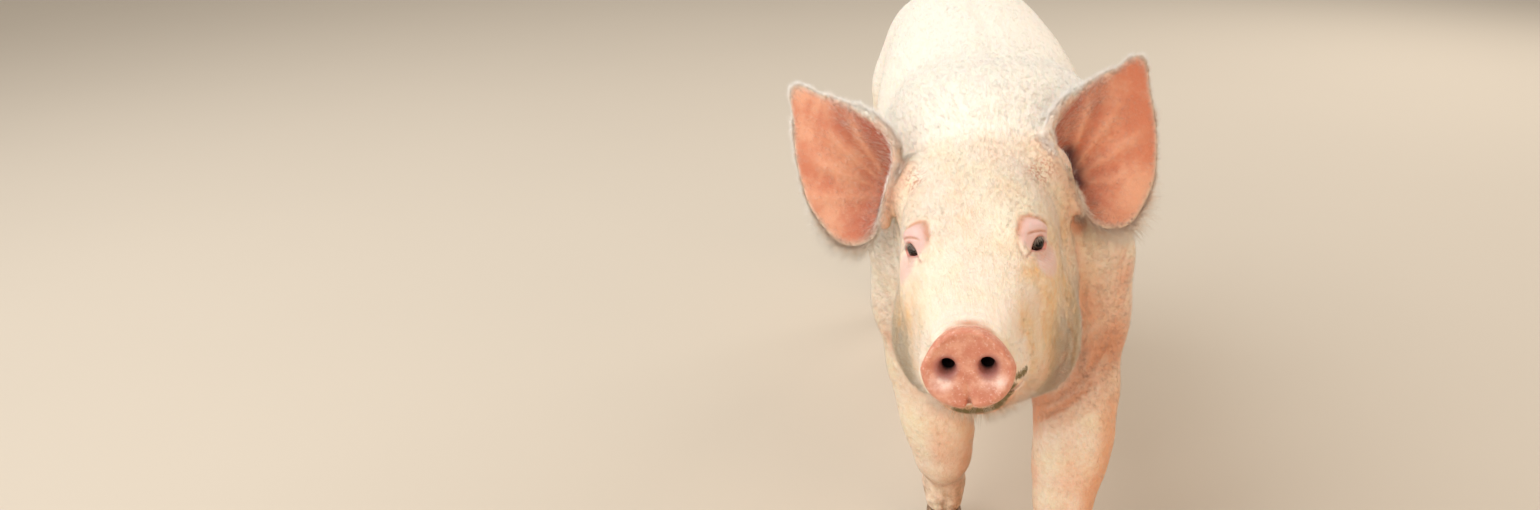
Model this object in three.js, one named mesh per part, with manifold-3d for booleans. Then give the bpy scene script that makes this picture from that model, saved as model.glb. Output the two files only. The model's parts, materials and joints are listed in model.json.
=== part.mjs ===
// A young domestic pig, a grower of about 45 kg with erect ears, stepping forward with its head raised.
// Millimetres. The pig faces -Y, its left side is +X, and Z is up, with the floor at 0.
// The body is one smooth field, negative inside, built from lofts, cones and ellipsoids that melt together.
// The field is meshed part by part, and the parts are divided by thin cuts.
import * as THREE from "three";
import Module from "manifold-3d";
import { mergeVertices } from "three/addons/utils/BufferGeometryUtils.js";

const wasm = await Module();
wasm.setup();

const { abs, max, min, sqrt, hypot, exp, cos, sin, PI } = Math;

// ---------------------------------------------------------------- driving dimensions

const CUT = 0.3; // width of the cuts between parts
const LEFT = 1; // the pig's left side, +X
const RIGHT = -1;
const TINY = 1e-6;
const PROBE = 0.5; // step for a field's slope
const SLIVER = 0.1; // edges and slivers finer than this are merged away
const FLAT = 0.05; // squared slope below which a point stays where it is

// Trunk stations: distance behind the point of the shoulder, height of the back, height of the belly, half width.
const TRUNK = [
  [-70, 500, 345, 56],
  [-35, 518, 300, 86],
  [15, 531, 270, 110],
  [90, 536, 258, 121],
  [170, 540, 253, 123],
  [260, 546, 250, 126],
  [350, 550, 252, 121],
  [430, 549, 264, 115],
  [500, 541, 288, 109],
  [560, 524, 318, 100],
  [610, 497, 345, 86],
  [640, 468, 370, 68],
];
const TRUNK_SQUARENESS = 2.2;
const TRUNK_ROUNDING = 60; // at its front and back ends
// Muscle forms melted into both sides of the trunk: centre, half sizes and fillet.
const TRUNK_FORMS = [
  { at: [77, 18, 346], half: [40, 72, 100], fillet: 40 }, // shoulder
  { at: [62, 64, 420], half: [38, 72, 84], fillet: 50 }, // shoulder blade
  { at: [60, 534, 374], half: [46, 94, 108], fillet: 50 }, // ham
];
const STEP = 10; // how far the left side's forms lie forward of the table, and the right side's back
const BODY_FILLET = { neck: 50, head: 26, leg: 30, tail: 16 };

// The neck is two cones: from the crown to the withers, and from the throat to the brisket.
const CREST = { head: [0, 276, 32], headRadius: 64, back: [-4, 6, 426, 98] };
const THROAT = { head: [0, 246, -32], headRadius: 66, back: [-4, -30, 362, 80] };
const NECK_FILLET = 40;

// Head stations, in the head's own frame: distance behind the snout disc, top, bottom, half width.
const SKULL_CENTRE = 200; // from the snout disc back to the head frame's origin
const SKULL = [
  [2, 26, -22, 28],
  [30, 27, -25, 31],
  [62, 31, -28, 38],
  [95, 40, -30, 47],
  [128, 55, -32, 56],
  [160, 74, -34, 63],
  [195, 94, -34, 69],
  [230, 108, -30, 71],
  [262, 113, -24, 68],
  [285, 110, -20, 62],
];
const JAW = [
  [17, -26, -46, 19],
  [40, -12, -54, 29],
  [80, 2, -67, 44],
  [120, 14, -83, 57],
  [160, 26, -98, 67],
  [200, 36, -109, 75],
  [240, 40, -111, 78],
  [275, 40, -102, 75],
];
const HEAD_SQUARENESS = 2.4;
const HEAD_ROUNDING = { skull: 24, jaw: 20 };
const JAW_FILLET = 18;
const HEAD_FORMS = [
  { at: [48, 216, -50], half: [32, 50, 50], fillet: 24 }, // cheek
  { at: [38, 172, 57], half: [18, 30, 14], fillet: 20 }, // brow
  { at: [52, 172, 10], half: [11, 48, 22], fillet: 20 }, // cheekbone
  { at: [25, 60, -18], half: [16, 46, 18], fillet: 16 }, // upper lip
  { at: [62, 268, 74], half: [22, 26, 34], fillet: 24 }, // mound of the ear
];
const EYE_SOCKET = { at: [60, 156, 48], half: [8, 15, 9], fillet: 12 };

// Snout disc: half sizes, lean of its top edge, how much narrower its top is, and the notch in its lower edge.
const DISC = {
  half: [34.5, 7, 29.5],
  tilt: 0.16,
  centre: [0, 5, -1],
  narrowTop: 0.3,
  wideFoot: -0.06,
  squareness: 2.3,
  edge: 5,
  fillet: 7,
};
const DISC_NOTCH = { half: [3.2, 12, 9], below: 3, fillet: 5 };
// Each nostril is a cone that starts in front of the disc and runs back, inwards and a little up.
const NOSTRIL = { spread: 14.5, up: 3, front: -8, radius: 6.3, depth: 14, inward: 0.8, rise: 3, endRadius: 3.8 };
const EYE = { spread: 45, behind: 159, up: 48, radius: 11.5 };

// Ear outline in the blade's own plane: degrees round from its long axis, and reach from the blade's middle.
const EAR_OUTLINE = [
  [-162, 49],
  [-139, 58],
  [-121, 60],
  [-98, 59],
  [-70, 58],
  [-35, 71],
  [-17, 92],
  [0, 68],
  [27, 53],
  [60, 49],
  [90, 56],
  [109, 64],
  [124, 74],
  [139, 78],
  [156, 75],
  [172, 58],
];
const EAR = {
  middle: [62, 27], // along the long axis and across it, from the ear's root
  thickness: 6,
  blunt: 0.6, // how quickly the blade thins towards its rim: 1 is a lens, 0 a flat plate
  cup: 34, // depth of the hollow
  cupAt: [12, 20],
  cupSize: [50, 36],
  tipAngle: -17,
  lid: 2, // how far the hollow is kept clear in front of the rim
};
// Each ear's root beside the crown, the direction of its long axis, and the way its hollow faces.
const EARS = {
  ear_left: { side: LEFT, root: [64.5, 258, 82.7], along: [0.579, 0.571, 0.582], facing: [0.494, -0.814, 0.306] },
  ear_right: { side: RIGHT, root: [69, 258, 79.7], along: [0.694, 0.337, 0.636], facing: [0.347, -0.931, 0.115] },
};

// Legs: joint centres from the top of the limb to the top of the hoof, each with its radius.
const LEGS = {
  fore_left: {
    fore: true,
    side: LEFT,
    joints: [
      [76, -14, 352, 54],
      [82, -12, 290, 46],
      [76, -42, 222, 41],
      [75, -60, 176, 36],
      [69, -70, 141, 31],
      [65, -78, 110, 27],
      [62, -86, 84, 22.5],
      [60, -96, 60, 23.5],
      [59, -104, 42, 22],
    ],
    knee: 5,
    hoof: [59, -114],
  },
  fore_right: {
    fore: true,
    side: RIGHT,
    joints: [
      [-76, 6, 352, 54],
      [-80, 16, 290, 46],
      [-70, 8, 222, 40],
      [-62, 0, 172, 35],
      [-55, -2, 142, 31],
      [-52, 2, 114, 28],
      [-49, 16, 86, 22.5],
      [-48, 28, 60, 23.5],
      [-48, 20, 42, 22],
    ],
    knee: 5,
    hoof: [-48, 9],
  },
  hind_left: {
    fore: false,
    side: LEFT,
    joints: [
      [57, 500, 380, 69],
      [68, 484, 296, 54],
      [72, 524, 236, 38],
      [70, 548, 196, 28],
      [66, 540, 136, 22.5],
      [63, 528, 82, 24.5],
      [62, 512, 44, 23],
    ],
    knee: 3,
    hoof: [62, 501],
  },
  hind_right: {
    fore: false,
    side: RIGHT,
    joints: [
      [-57, 526, 380, 69],
      [-68, 530, 296, 54],
      [-72, 582, 240, 38],
      [-70, 610, 200, 28],
      [-66, 612, 138, 22.5],
      [-63, 610, 84, 24.5],
      [-62, 596, 44, 23],
    ],
    knee: 3,
    hoof: [-62, 584],
  },
};

const LEG_FILLET = { upper: 26, lower: 10 };
const WRIST = { forward: 2, grow: [1, 1, 8], fillet: 12 }; // front of the fore knee, beyond its joint's radius
const HOCK = { behind: 20, up: 16, share: [0.52, 0.62, 1], fillet: 22 }; // heel bone, in shares of its radius
const ELBOW = { out: 2, behind: 26, up: 6, half: [30, 34, 34], fillet: 26 };

const CORONET = 32; // top of the hooves
const CLAW = { sole: [11, 24], top: [9.6, 18], innerShare: 0.8, toeTaper: 0.3, slope: 8, cleft: 1.6 };
const DEWCLAW = { spread: 13, behind: 20, up: -3, radii: [7, 8, 11] };

// Tail: a stem out of the rump, then a curl that drifts sideways as it turns.
const TAIL_HEAD = { from: [0, 600, 484, 26], to: [0, 630, 480, 17] };
const TAIL = { root: [0, 610, 484], stem: 62, dip: 10, curl: 21, turns: 1.15, drift: 26, radii: [13.5, 3.4], taper: 1.3 };

// Planes between the parts.
const LEG_TOP = 247;
const HEAD_BACK = 94; // in the head's frame, behind its origin
const NECK_END = -8;
const BARREL = [185, 400];
const TAIL_START = 622;
const RUMP_END = 700;
const MOUTH = { front: 10, height: -26, rise: 0.13, length: 84 };

// Sizes of the meshing cells.
const CELL = {
  head: [17, 17, 17],
  snout: [7.5, 7.5, 7.5],
  neck: [27, 27, 27],
  trunk: [31, 42, 31],
  leg: [18, 18, 24],
};

// Facets round and along the small round parts.
const SEGMENTS = {
  ear: { around: 24, rings: 9 },
  eye: { around: 12, rings: 8 },
  claw: { around: 12, rings: 2 },
  dewclaw: { around: 7, rings: 5 },
  tail: { pieces: 20, around: 7 },
  nostril: { around: 10, rings: 1 },
};

const HEAD_POSE = { origin: [-33, -146, 384], yaw: -0.143, pitch: -0.123, roll: -0.105 };

// ---------------------------------------------------------------- frames and fields

/** A turned local frame: local() takes a point into it and world() brings one back. */
class Frame {
  constructor(matrix) {
    this.matrix = matrix;
    this.inverse = matrix.clone().invert();
  }
  static at({ origin, yaw = 0, pitch = 0, roll = 0 }) {
    const turn = new THREE.Matrix4().makeRotationFromEuler(new THREE.Euler(pitch, roll, yaw, "ZXY"));
    return new Frame(turn.setPosition(...origin));
  }
  within(child) {
    return new Frame(this.matrix.clone().multiply(child.matrix));
  }
  local(p) {
    return apply(this.inverse.elements, p);
  }
  world(p) {
    return apply(this.matrix.elements, p);
  }
}

function apply(m, [x, y, z]) {
  return [
    m[0] * x + m[4] * y + m[8] * z + m[12],
    m[1] * x + m[5] * y + m[9] * z + m[13],
    m[2] * x + m[6] * y + m[10] * z + m[14],
  ];
}

/** Joins two distances with a fillet of about k. */
function melt(a, b, k) {
  const h = max(k - abs(a - b), 0) / k;
  return min(a, b) - (h * h * k) / 4;
}

/** Cuts b out of a with a rounded edge. */
function carve(a, b, k) {
  return -melt(-a, b, k);
}

function ellipsoid([x, y, z], [cx, cy, cz], [rx, ry, rz]) {
  const dx = x - cx;
  const dy = y - cy;
  const dz = z - cz;
  const k0 = hypot(dx / rx, dy / ry, dz / rz);
  const k1 = hypot(dx / (rx * rx), dy / (ry * ry), dz / (rz * rz));
  return k1 > 0 ? (k0 * (k0 - 1)) / k1 : -min(rx, ry, rz);
}

/** A cone between two balls. */
function limb([x, y, z], [ax, ay, az, ra], [bx, by, bz, rb]) {
  const ux = bx - ax;
  const uy = by - ay;
  const uz = bz - az;
  const vx = x - ax;
  const vy = y - ay;
  const vz = z - az;
  const l2 = ux * ux + uy * uy + uz * uz;
  const rr = ra - rb;
  const a2 = l2 - rr * rr;
  const along = vx * ux + vy * uy + vz * uz;
  const past = along - l2;
  const wx = vx * l2 - ux * along;
  const wy = vy * l2 - uy * along;
  const wz = vz * l2 - uz * along;
  const x2 = wx * wx + wy * wy + wz * wz;
  const y2 = along * along * l2;
  const z2 = past * past * l2;
  const k = Math.sign(rr) * rr * rr * x2;
  if (Math.sign(past) * a2 * z2 > k) return sqrt(x2 + z2) / l2 - rb;
  if (Math.sign(along) * a2 * y2 < k) return sqrt(x2 + y2) / l2 - ra;
  return (sqrt((x2 * a2) / l2) + along * rr) / l2 - ra;
}

/** A column of a station table at s, by a smooth curve through its rows. */
function profile(rows, column, s) {
  const last = rows.length - 1;
  if (s <= rows[0][0]) return rows[0][column];
  if (s >= rows[last][0]) return rows[last][column];
  let i = 0;
  while (rows[i + 1][0] < s) i++;
  const slope = (j) => {
    const a = rows[max(j - 1, 0)];
    const b = rows[min(j + 1, last)];
    return (b[column] - a[column]) / (b[0] - a[0]);
  };
  const h = rows[i + 1][0] - rows[i][0];
  const t = (s - rows[i][0]) / h;
  const t2 = t * t;
  const t3 = t2 * t;
  return (
    (2 * t3 - 3 * t2 + 1) * rows[i][column] +
    (t3 - 2 * t2 + t) * h * slope(i) +
    (3 * t2 - 2 * t3) * rows[i + 1][column] +
    (t3 - t2) * h * slope(i + 1)
  );
}

/** A long form whose top, bottom and width follow a station table along s, with ends rounded by round. */
function loft(rows, x, s, z, squareness, round) {
  const top = profile(rows, 1, s);
  const bottom = profile(rows, 2, s);
  const wide = profile(rows, 3, s);
  const tall = (top - bottom) / 2;
  const dz = z - (top + bottom) / 2;
  const n = squareness;
  const q = (abs(x / wide) ** n + abs(dz / tall) ** n) ** (1 / n);
  const r = hypot(x, dz);
  const section = q > TINY ? r * (1 - 1 / q) : -min(wide, tall);
  const ends = max(rows[0][0] - s, s - rows[rows.length - 1][0]);
  return -melt(-section, -ends, round);
}

const plain = Frame.at({ origin: [0, 0, 0] });
const head = Frame.at(HEAD_POSE);
const headSpot = (x, behind, z) => head.world([x, behind - SKULL_CENTRE, z]);

// ---------------------------------------------------------------- the ears

/** The reach of the ear's outline in a direction given in radians, joined smoothly between its rows. */
function earReach(angle) {
  const degrees = (angle * 180) / PI;
  const wrapped = degrees < EAR_OUTLINE[0][0] ? degrees + 360 : degrees;
  const [first, second] = EAR_OUTLINE;
  const ring = [...EAR_OUTLINE, [first[0] + 360, first[1]], [second[0] + 360, second[1]]];
  return profile(ring, 1, wrapped);
}

/** How far the blade's middle surface lies in front of its plane: a deep hollow by the root, none at the rim. */
function earBend(u, v, fromMiddle) {
  const away = ((u - EAR.cupAt[0]) / EAR.cupSize[0]) ** 2 + ((v - EAR.cupAt[1]) / EAR.cupSize[1]) ** 2;
  return -EAR.cup * exp(-away) * (1 - fromMiddle ** 4);
}

/** The blade's own frame, its x along the ear, y across it and z out of the hollow. */
function earFrame({ side, root, along, facing }) {
  const x = new THREE.Vector3(side * along[0], along[1], along[2]).normalize();
  const out = new THREE.Vector3(side * facing[0], facing[1], facing[2]);
  const y = new THREE.Vector3().crossVectors(out, x).multiplyScalar(-side).normalize();
  const z = new THREE.Vector3().crossVectors(x, y).multiplyScalar(-side).normalize();
  const turn = new THREE.Matrix4().makeBasis(x, y, z);
  return head.within(new Frame(turn.setPosition(side * root[0], root[1] - SKULL_CENTRE, root[2])));
}

// ---------------------------------------------------------------- the body

/** Melts the forms of a table into a distance, one on each side; step moves the left ones forward. */
function addForms(d, p, forms, step) {
  let joined = d;
  for (const side of [LEFT, RIGHT]) {
    for (const { at: [x, y, z], half, fillet } of forms) {
      joined = melt(joined, ellipsoid(p, [side * x, y - side * step, z], half), fillet);
    }
  }
  return joined;
}

function trunkField(p) {
  const trunk = loft(TRUNK, ...p, TRUNK_SQUARENESS, TRUNK_ROUNDING);
  return addForms(trunk, p, TRUNK_FORMS, STEP);
}

function neckField(p) {
  const [crest, throat] = [CREST, THROAT].map((cone) => {
    return limb(p, [...headSpot(...cone.head), cone.headRadius], cone.back);
  });
  return melt(crest, throat, NECK_FILLET);
}

function legField(p, { fore, joints, knee, side }) {
  let d = limb(p, joints[0], joints[1]);
  for (let i = 1; i < joints.length - 1; i++) {
    d = melt(d, limb(p, joints[i], joints[i + 1]), i < knee ? LEG_FILLET.upper : LEG_FILLET.lower);
  }
  const [kx, ky, kz, radius] = joints[knee];
  if (!fore) {
    const heel = [kx, ky + HOCK.behind, kz + HOCK.up];
    return melt(d, ellipsoid(p, heel, HOCK.share.map((v) => v * radius)), HOCK.fillet);
  }
  const [ex, ey, ez] = joints[1];
  const elbow = [ex + side * ELBOW.out, ey + ELBOW.behind, ez + ELBOW.up];
  d = melt(d, ellipsoid(p, elbow, ELBOW.half), ELBOW.fillet);
  return melt(d, ellipsoid(p, [kx, ky - WRIST.forward, kz], WRIST.grow.map((v) => v + radius)), WRIST.fillet);
}

function headField(p) {
  const [x, y, z] = head.local(p);
  const s = y + SKULL_CENTRE;
  const q = [x, s, z];
  const jaw = loft(JAW, x, s, z, HEAD_SQUARENESS, HEAD_ROUNDING.jaw);
  let d = melt(loft(SKULL, x, s, z, HEAD_SQUARENESS, HEAD_ROUNDING.skull), jaw, JAW_FILLET);
  d = addForms(d, q, HEAD_FORMS, 0);
  for (const side of [LEFT, RIGHT]) {
    const [ex, ey, ez] = EYE_SOCKET.at;
    d = carve(d, ellipsoid(q, [side * ex, ey, ez], EYE_SOCKET.half), EYE_SOCKET.fillet);
  }
  return melt(d, discField(q), DISC.fillet);
}

/** The flat round snout disc, leaning back at its top edge, with a notch below. */
function discField([x, s, z]) {
  const [wide, thick, tall] = DISC.half;
  const ds = s - DISC.centre[1];
  const dz = z - DISC.centre[2];
  const along = ds * cos(DISC.tilt) - dz * sin(DISC.tilt);
  const up = ds * sin(DISC.tilt) + dz * cos(DISC.tilt);
  const width = wide * (1 - DISC.narrowTop * max(up / tall, 0) - DISC.wideFoot * min(up / tall, 0));
  const n = DISC.squareness;
  const q = (abs(x / width) ** n + abs(up / tall) ** n) ** (1 / n);
  const rim = (q > TINY ? hypot(x, up) * (1 - 1 / q) : -tall) + DISC.edge;
  const face = abs(along) - thick + DISC.edge;
  const disc = min(max(rim, face), 0) + hypot(max(rim, 0), max(face, 0)) - DISC.edge;
  const notch = ellipsoid([x, along, up], [0, -thick, -tall - DISC_NOTCH.below], DISC_NOTCH.half);
  return carve(disc, notch, DISC_NOTCH.fillet);
}

/** The whole pig without its ears, eyes, tail and hooves. */
function bodyField(p) {
  let d = melt(trunkField(p), neckField(p), BODY_FILLET.neck);
  d = melt(d, headField(p), BODY_FILLET.head);
  d = melt(d, limb(p, TAIL_HEAD.from, TAIL_HEAD.to), BODY_FILLET.tail);
  for (const leg of Object.values(LEGS)) {
    d = melt(d, legField(p, leg), BODY_FILLET.leg);
  }
  return d;
}

// ---------------------------------------------------------------- meshing

/** Meshes a field over a box of a frame with one point in each cell that the surface crosses. */
function netGeometry(field, frame, low, high, step) {
  const n = low.map((l, i) => Math.ceil((high[i] - l) / step[i]) + 1);
  const at = (i, j, k) => (k * n[1] + j) * n[0] + i;
  const value = new Float64Array(n[0] * n[1] * n[2]);
  forGrid([0, 0, 0], n, (i, j, k) => {
    const rim = i === 0 || j === 0 || k === 0 || i === n[0] - 1 || j === n[1] - 1 || k === n[2] - 1;
    const v = field(frame.world([low[0] + i * step[0], low[1] + j * step[1], low[2] + k * step[2]]));
    value[at(i, j, k)] = rim ? max(v, step[0] / 2) : v || step[0] * 1e-3;
  });
  const cells = n.map((c) => c - 1);
  const points = [];
  const cell = new Int32Array(value.length).fill(-1);
  forGrid([0, 0, 0], cells, (i, j, k) => {
    const crossing = cellPoint(value, at, [i, j, k]);
    if (!crossing) return;
    cell[at(i, j, k)] = points.length;
    points.push(crossing.map((c, axis) => low[axis] + c * step[axis]));
  });
  const index = [];
  for (const axis of [0, 1, 2]) {
    const first = [1, 1, 1];
    first[axis] = 0;
    const [a, b] = [(axis + 1) % 3, (axis + 2) % 3];
    forGrid(first, cells, (...node) => {
      const next = [...node];
      next[axis]++;
      const here = value[at(...node)] < 0;
      if (here === value[at(...next)] < 0) return;
      const ring = [0, 1, 2, 3].map((turn) => {
        const c = [...node];
        if (turn === 0 || turn === 3) c[a]--;
        if (turn < 2) c[b]--;
        return cell[at(...c)];
      });
      addQuad(index, points, here ? ring : ring.reverse());
    });
  }
  const geometry = new THREE.BufferGeometry();
  const world = points.flatMap((p) => settle(field, frame.world(p), step));
  geometry.setAttribute("position", new THREE.Float32BufferAttribute(world, 3));
  geometry.setIndex(index);
  return geometry;
}

/** Visits every node of a grid from first up to, and not including, end. */
function forGrid(first, end, visit) {
  for (let k = first[2]; k < end[2]; k++) {
    for (let j = first[1]; j < end[1]; j++) {
      for (let i = first[0]; i < end[0]; i++) visit(i, j, k);
    }
  }
}

/** The mean of the places where a cell's edges cross the surface, in cells, or null. */
function cellPoint(value, at, [i, j, k]) {
  const sum = [0, 0, 0];
  let count = 0;
  for (let axis = 0; axis < 3; axis++)
    for (let side = 0; side < 4; side++) {
      const a = [0, 0, 0];
      a[(axis + 1) % 3] = side & 1;
      a[(axis + 2) % 3] = side >> 1;
      const b = [...a];
      b[axis] = 1;
      const va = value[at(i + a[0], j + a[1], k + a[2])];
      const vb = value[at(i + b[0], j + b[1], k + b[2])];
      if (va < 0 === vb < 0) continue;
      const t = va / (va - vb);
      sum[0] += i + a[0] + (b[0] - a[0]) * t;
      sum[1] += j + a[1] + (b[1] - a[1]) * t;
      sum[2] += k + a[2] + (b[2] - a[2]) * t;
      count++;
    }
  return count ? sum.map((v) => v / count) : null;
}

/** Adds a quad as two triangles, split along its shorter diagonal. */
function addQuad(index, points, [a, b, c, d]) {
  const gap = (p, q) => hypot(...points[p].map((v, i) => v - points[q][i]));
  if (gap(a, c) < gap(b, d)) index.push(a, b, c, a, c, d);
  else index.push(a, b, d, b, c, d);
}

/** Moves a point onto the field's surface, by at most a third of a cell. */
function settle(field, p, step) {
  const limit = min(...step) / 3;
  const f = field(p);
  const g = [0, 1, 2].map((i) => {
    const q = [...p];
    q[i] += PROBE;
    return (field(q) - f) / PROBE;
  });
  const g2 = g[0] ** 2 + g[1] ** 2 + g[2] ** 2;
  if (abs(f) > limit || g2 < FLAT) return p;
  return p.map((v, i) => v - (f * g[i]) / g2);
}

/** A closed solid from a geometry whose corners are shared and whose empty triangles are dropped. */
function solidOf(geometry) {
  const bare = geometry.clone();
  bare.deleteAttribute("normal");
  bare.deleteAttribute("uv");
  const merged = mergeVertices(bare, 1e-3);
  const corners = [...merged.index.array];
  const whole = corners.filter((_, i) => {
    const [a, b, c] = corners.slice(i - (i % 3), i - (i % 3) + 3);
    return a !== b && b !== c && c !== a;
  });
  return new wasm.Manifold(
    new wasm.Mesh({
      numProp: 3,
      vertProperties: new Float32Array(merged.attributes.position.array),
      triVerts: new Uint32Array(whole),
    }),
  );
}

function geometryOf(solid) {
  const mesh = solid.getMesh();
  const geometry = new THREE.BufferGeometry();
  geometry.setAttribute("position", new THREE.Float32BufferAttribute(mesh.vertProperties, 3));
  geometry.setIndex([...mesh.triVerts]);
  return geometry;
}

/** A block between two corners of a frame, drawn in by half a cut on every side, or let out by grow. */
function block(frame, low, high, grow = -CUT / 2) {
  const geometry = new THREE.BoxGeometry(...high.map((h, i) => h - low[i] + 2 * grow));
  geometry.translate(...high.map((h, i) => (h + low[i]) / 2));
  geometry.applyMatrix4(frame.matrix);
  return solidOf(geometry);
}

/** The largest piece of a solid that a cut has left in several. */
function largest(solid) {
  return solid.decompose().reduce((a, b) => (a.volume() > b.volume() ? a : b));
}

/** A piece of a field's body inside a block of a frame, meshed with cells of the given size. */
function piece(field, frame, low, high, step) {
  const start = low.map((v, i) => v - step[i] * 1.5);
  const end = high.map((v, i) => v + step[i] * 1.5);
  return solidOf(netGeometry(field, frame, start, end, step)).intersect(block(frame, low, high));
}

// ---------------------------------------------------------------- ears, eyes and hooves

/** An ear blade from under its middle surface to over it, or up to a flat lid; grow widens its outline. */
function blade(ear, under, over, grow, lid = -Infinity) {
  const geometry = new THREE.SphereGeometry(1, SEGMENTS.ear.around, SEGMENTS.ear.rings);
  geometry.rotateX(PI / 2);
  geometry.rotateZ((EAR.tipAngle * PI) / 180);
  const frame = earFrame(ear);
  const place = geometry.attributes.position;
  for (let i = 0; i < place.count; i++) {
    const fromMiddle = min(hypot(place.getX(i), place.getY(i)), 1);
    const angle = Math.atan2(place.getY(i), place.getX(i));
    const reach = fromMiddle * (earReach(angle) + grow);
    const u = EAR.middle[0] + reach * cos(angle);
    const v = EAR.middle[1] + reach * sin(angle);
    const height = abs(place.getZ(i)) ** EAR.blunt;
    const bend = earBend(u, v, fromMiddle);
    const w = place.getZ(i) > 0 ? max(bend + height * over, height * lid) : bend - height * under;
    place.setXYZ(i, ...frame.world([u, v, w]));
  }
  return solidOf(ear.side === LEFT ? flip(geometry) : geometry);
}

/** Turns a geometry's triangles over. */
function flip(geometry) {
  const index = geometry.index.array;
  for (let i = 0; i < index.length; i += 3) [index[i], index[i + 1]] = [index[i + 1], index[i]];
  return geometry;
}

function ball(centre, radii, { around, rings }) {
  const geometry = new THREE.SphereGeometry(1, around, rings);
  geometry.scale(...radii);
  geometry.translate(...centre);
  return solidOf(geometry);
}

/** The cone that is cut out of the snout for a nostril. */
function nostril(side) {
  const { spread, up, front, radius, depth, inward, rise, endRadius } = NOSTRIL;
  const mouth = new THREE.Vector3(side * spread, front, up);
  const end = new THREE.Vector3(side * spread * inward, depth, up + rise);
  const { around, rings } = SEGMENTS.nostril;
  const geometry = new THREE.CylinderGeometry(endRadius, radius, mouth.distanceTo(end), around, rings);
  const along = end.clone().sub(mouth).normalize();
  geometry.applyQuaternion(new THREE.Quaternion().setFromUnitVectors(new THREE.Vector3(0, 1, 0), along));
  geometry.translate(...mouth.add(end).multiplyScalar(0.5));
  geometry.translate(0, -SKULL_CENTRE, 0);
  geometry.applyMatrix4(head.matrix);
  return solidOf(geometry);
}

/** One of a foot's two main claws: a flat sole, a sloping front wall and a flat inner side by the cleft. */
function claw([x, y], inner) {
  const geometry = new THREE.CylinderGeometry(1, 1, 1, SEGMENTS.claw.around, SEGMENTS.claw.rings);
  geometry.rotateX(PI / 2);
  const place = geometry.attributes.position;
  for (let i = 0; i < place.count; i++) {
    const t = place.getZ(i) + 0.5;
    const forward = -place.getY(i);
    const taper = 1 - CLAW.toeTaper * max(forward, 0) ** 2;
    const flat = place.getX(i) * inner < 0 ? CLAW.innerShare : 1;
    const wide = CLAW.sole[0] + (CLAW.top[0] - CLAW.sole[0]) * t;
    const long = CLAW.sole[1] + (CLAW.top[1] - CLAW.sole[1]) * t;
    place.setXYZ(
      i,
      x + inner * (CLAW.cleft / 2 + CLAW.sole[0] * CLAW.innerShare) + place.getX(i) * wide * taper * flat,
      y + CLAW.slope * (t - 0.5) + place.getY(i) * long,
      t * (CORONET - CUT),
    );
  }
  return solidOf(geometry);
}

/** The tail's curve: the stem dips a little, then the curl climbs over and comes forward. */
class TailCurve extends THREE.Curve {
  getPoint(t) {
    const { root: [x, y, z], stem, dip, curl, turns, drift } = TAIL;
    const along = t * (stem + 2 * PI * turns * curl);
    const straight = min(along, stem);
    const angle = max(along - stem, 0) / curl;
    return new THREE.Vector3(
      x + (drift * angle) / (2 * PI),
      y + straight + curl * sin(angle),
      z - dip * sin((PI * straight) / stem / 2) + curl * (1 - cos(angle)),
    );
  }
}

/** The tail behind a plane, as a tube that tapers from root to tip; grow thickens it. */
function tail(grow, planeGrow) {
  const { pieces, around } = SEGMENTS.tail;
  const curve = new TailCurve();
  const geometry = new THREE.TubeGeometry(curve, pieces, 1, around);
  const [root, tip] = TAIL.radii;
  const place = geometry.attributes.position;
  const spot = new THREE.Vector3();
  for (let i = 0; i <= pieces; i++) {
    const t = i / pieces;
    const middle = curve.getPointAt(t);
    const radius = i === 0 || i === pieces ? 0 : grow + tip + (root - tip) * (1 - t) ** TAIL.taper;
    for (let j = 0; j <= around; j++) {
      const at = i * (around + 1) + j;
      spot.fromBufferAttribute(place, at).sub(middle).multiplyScalar(radius).add(middle);
      place.setXYZ(at, ...spot);
    }
  }
  return solidOf(geometry).intersect(block(plain, [-90, TAIL_START, 300], [90, 850, 620], planeGrow));
}

// ---------------------------------------------------------------- nodes

const skin = new THREE.MeshStandardMaterial({ color: 0xf0cdb8, roughness: 0.62, metalness: 0 });
const pink = new THREE.MeshStandardMaterial({ color: 0xdd9c90, roughness: 0.5, metalness: 0 });
const horn = new THREE.MeshStandardMaterial({ color: 0xb8a189, roughness: 0.55, metalness: 0 });
const dark = new THREE.MeshStandardMaterial({ color: 0x1d1512, roughness: 0.08, metalness: 0 });
const pig = new THREE.Group();

function addNode(name, solid, material) {
  const mesh = new THREE.Mesh(geometryOf(solid.simplify(SLIVER)), material);
  mesh.name = name;
  pig.add(mesh);
}

const slots = Object.values(EARS).map((ear) => {
  const half = EAR.thickness / 2 + CUT;
  return blade(ear, half, half, CUT, EAR.lid);
});
const lens = (side, grow) => {
  const radius = EYE.radius + grow;
  return ball(headSpot(side * EYE.spread, EYE.behind, EYE.up), [radius, radius, radius], SEGMENTS.eye);
};

const snout = head.within(Frame.at({ origin: [0, DISC.centre[1] - SKULL_CENTRE, DISC.centre[2]], pitch: -DISC.tilt }));
const snoutBack = DISC.half[1] + 2;
const mouth = head.within(Frame.at({ origin: [0, MOUTH.front - SKULL_CENTRE, MOUTH.height], pitch: MOUTH.rise }));

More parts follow.
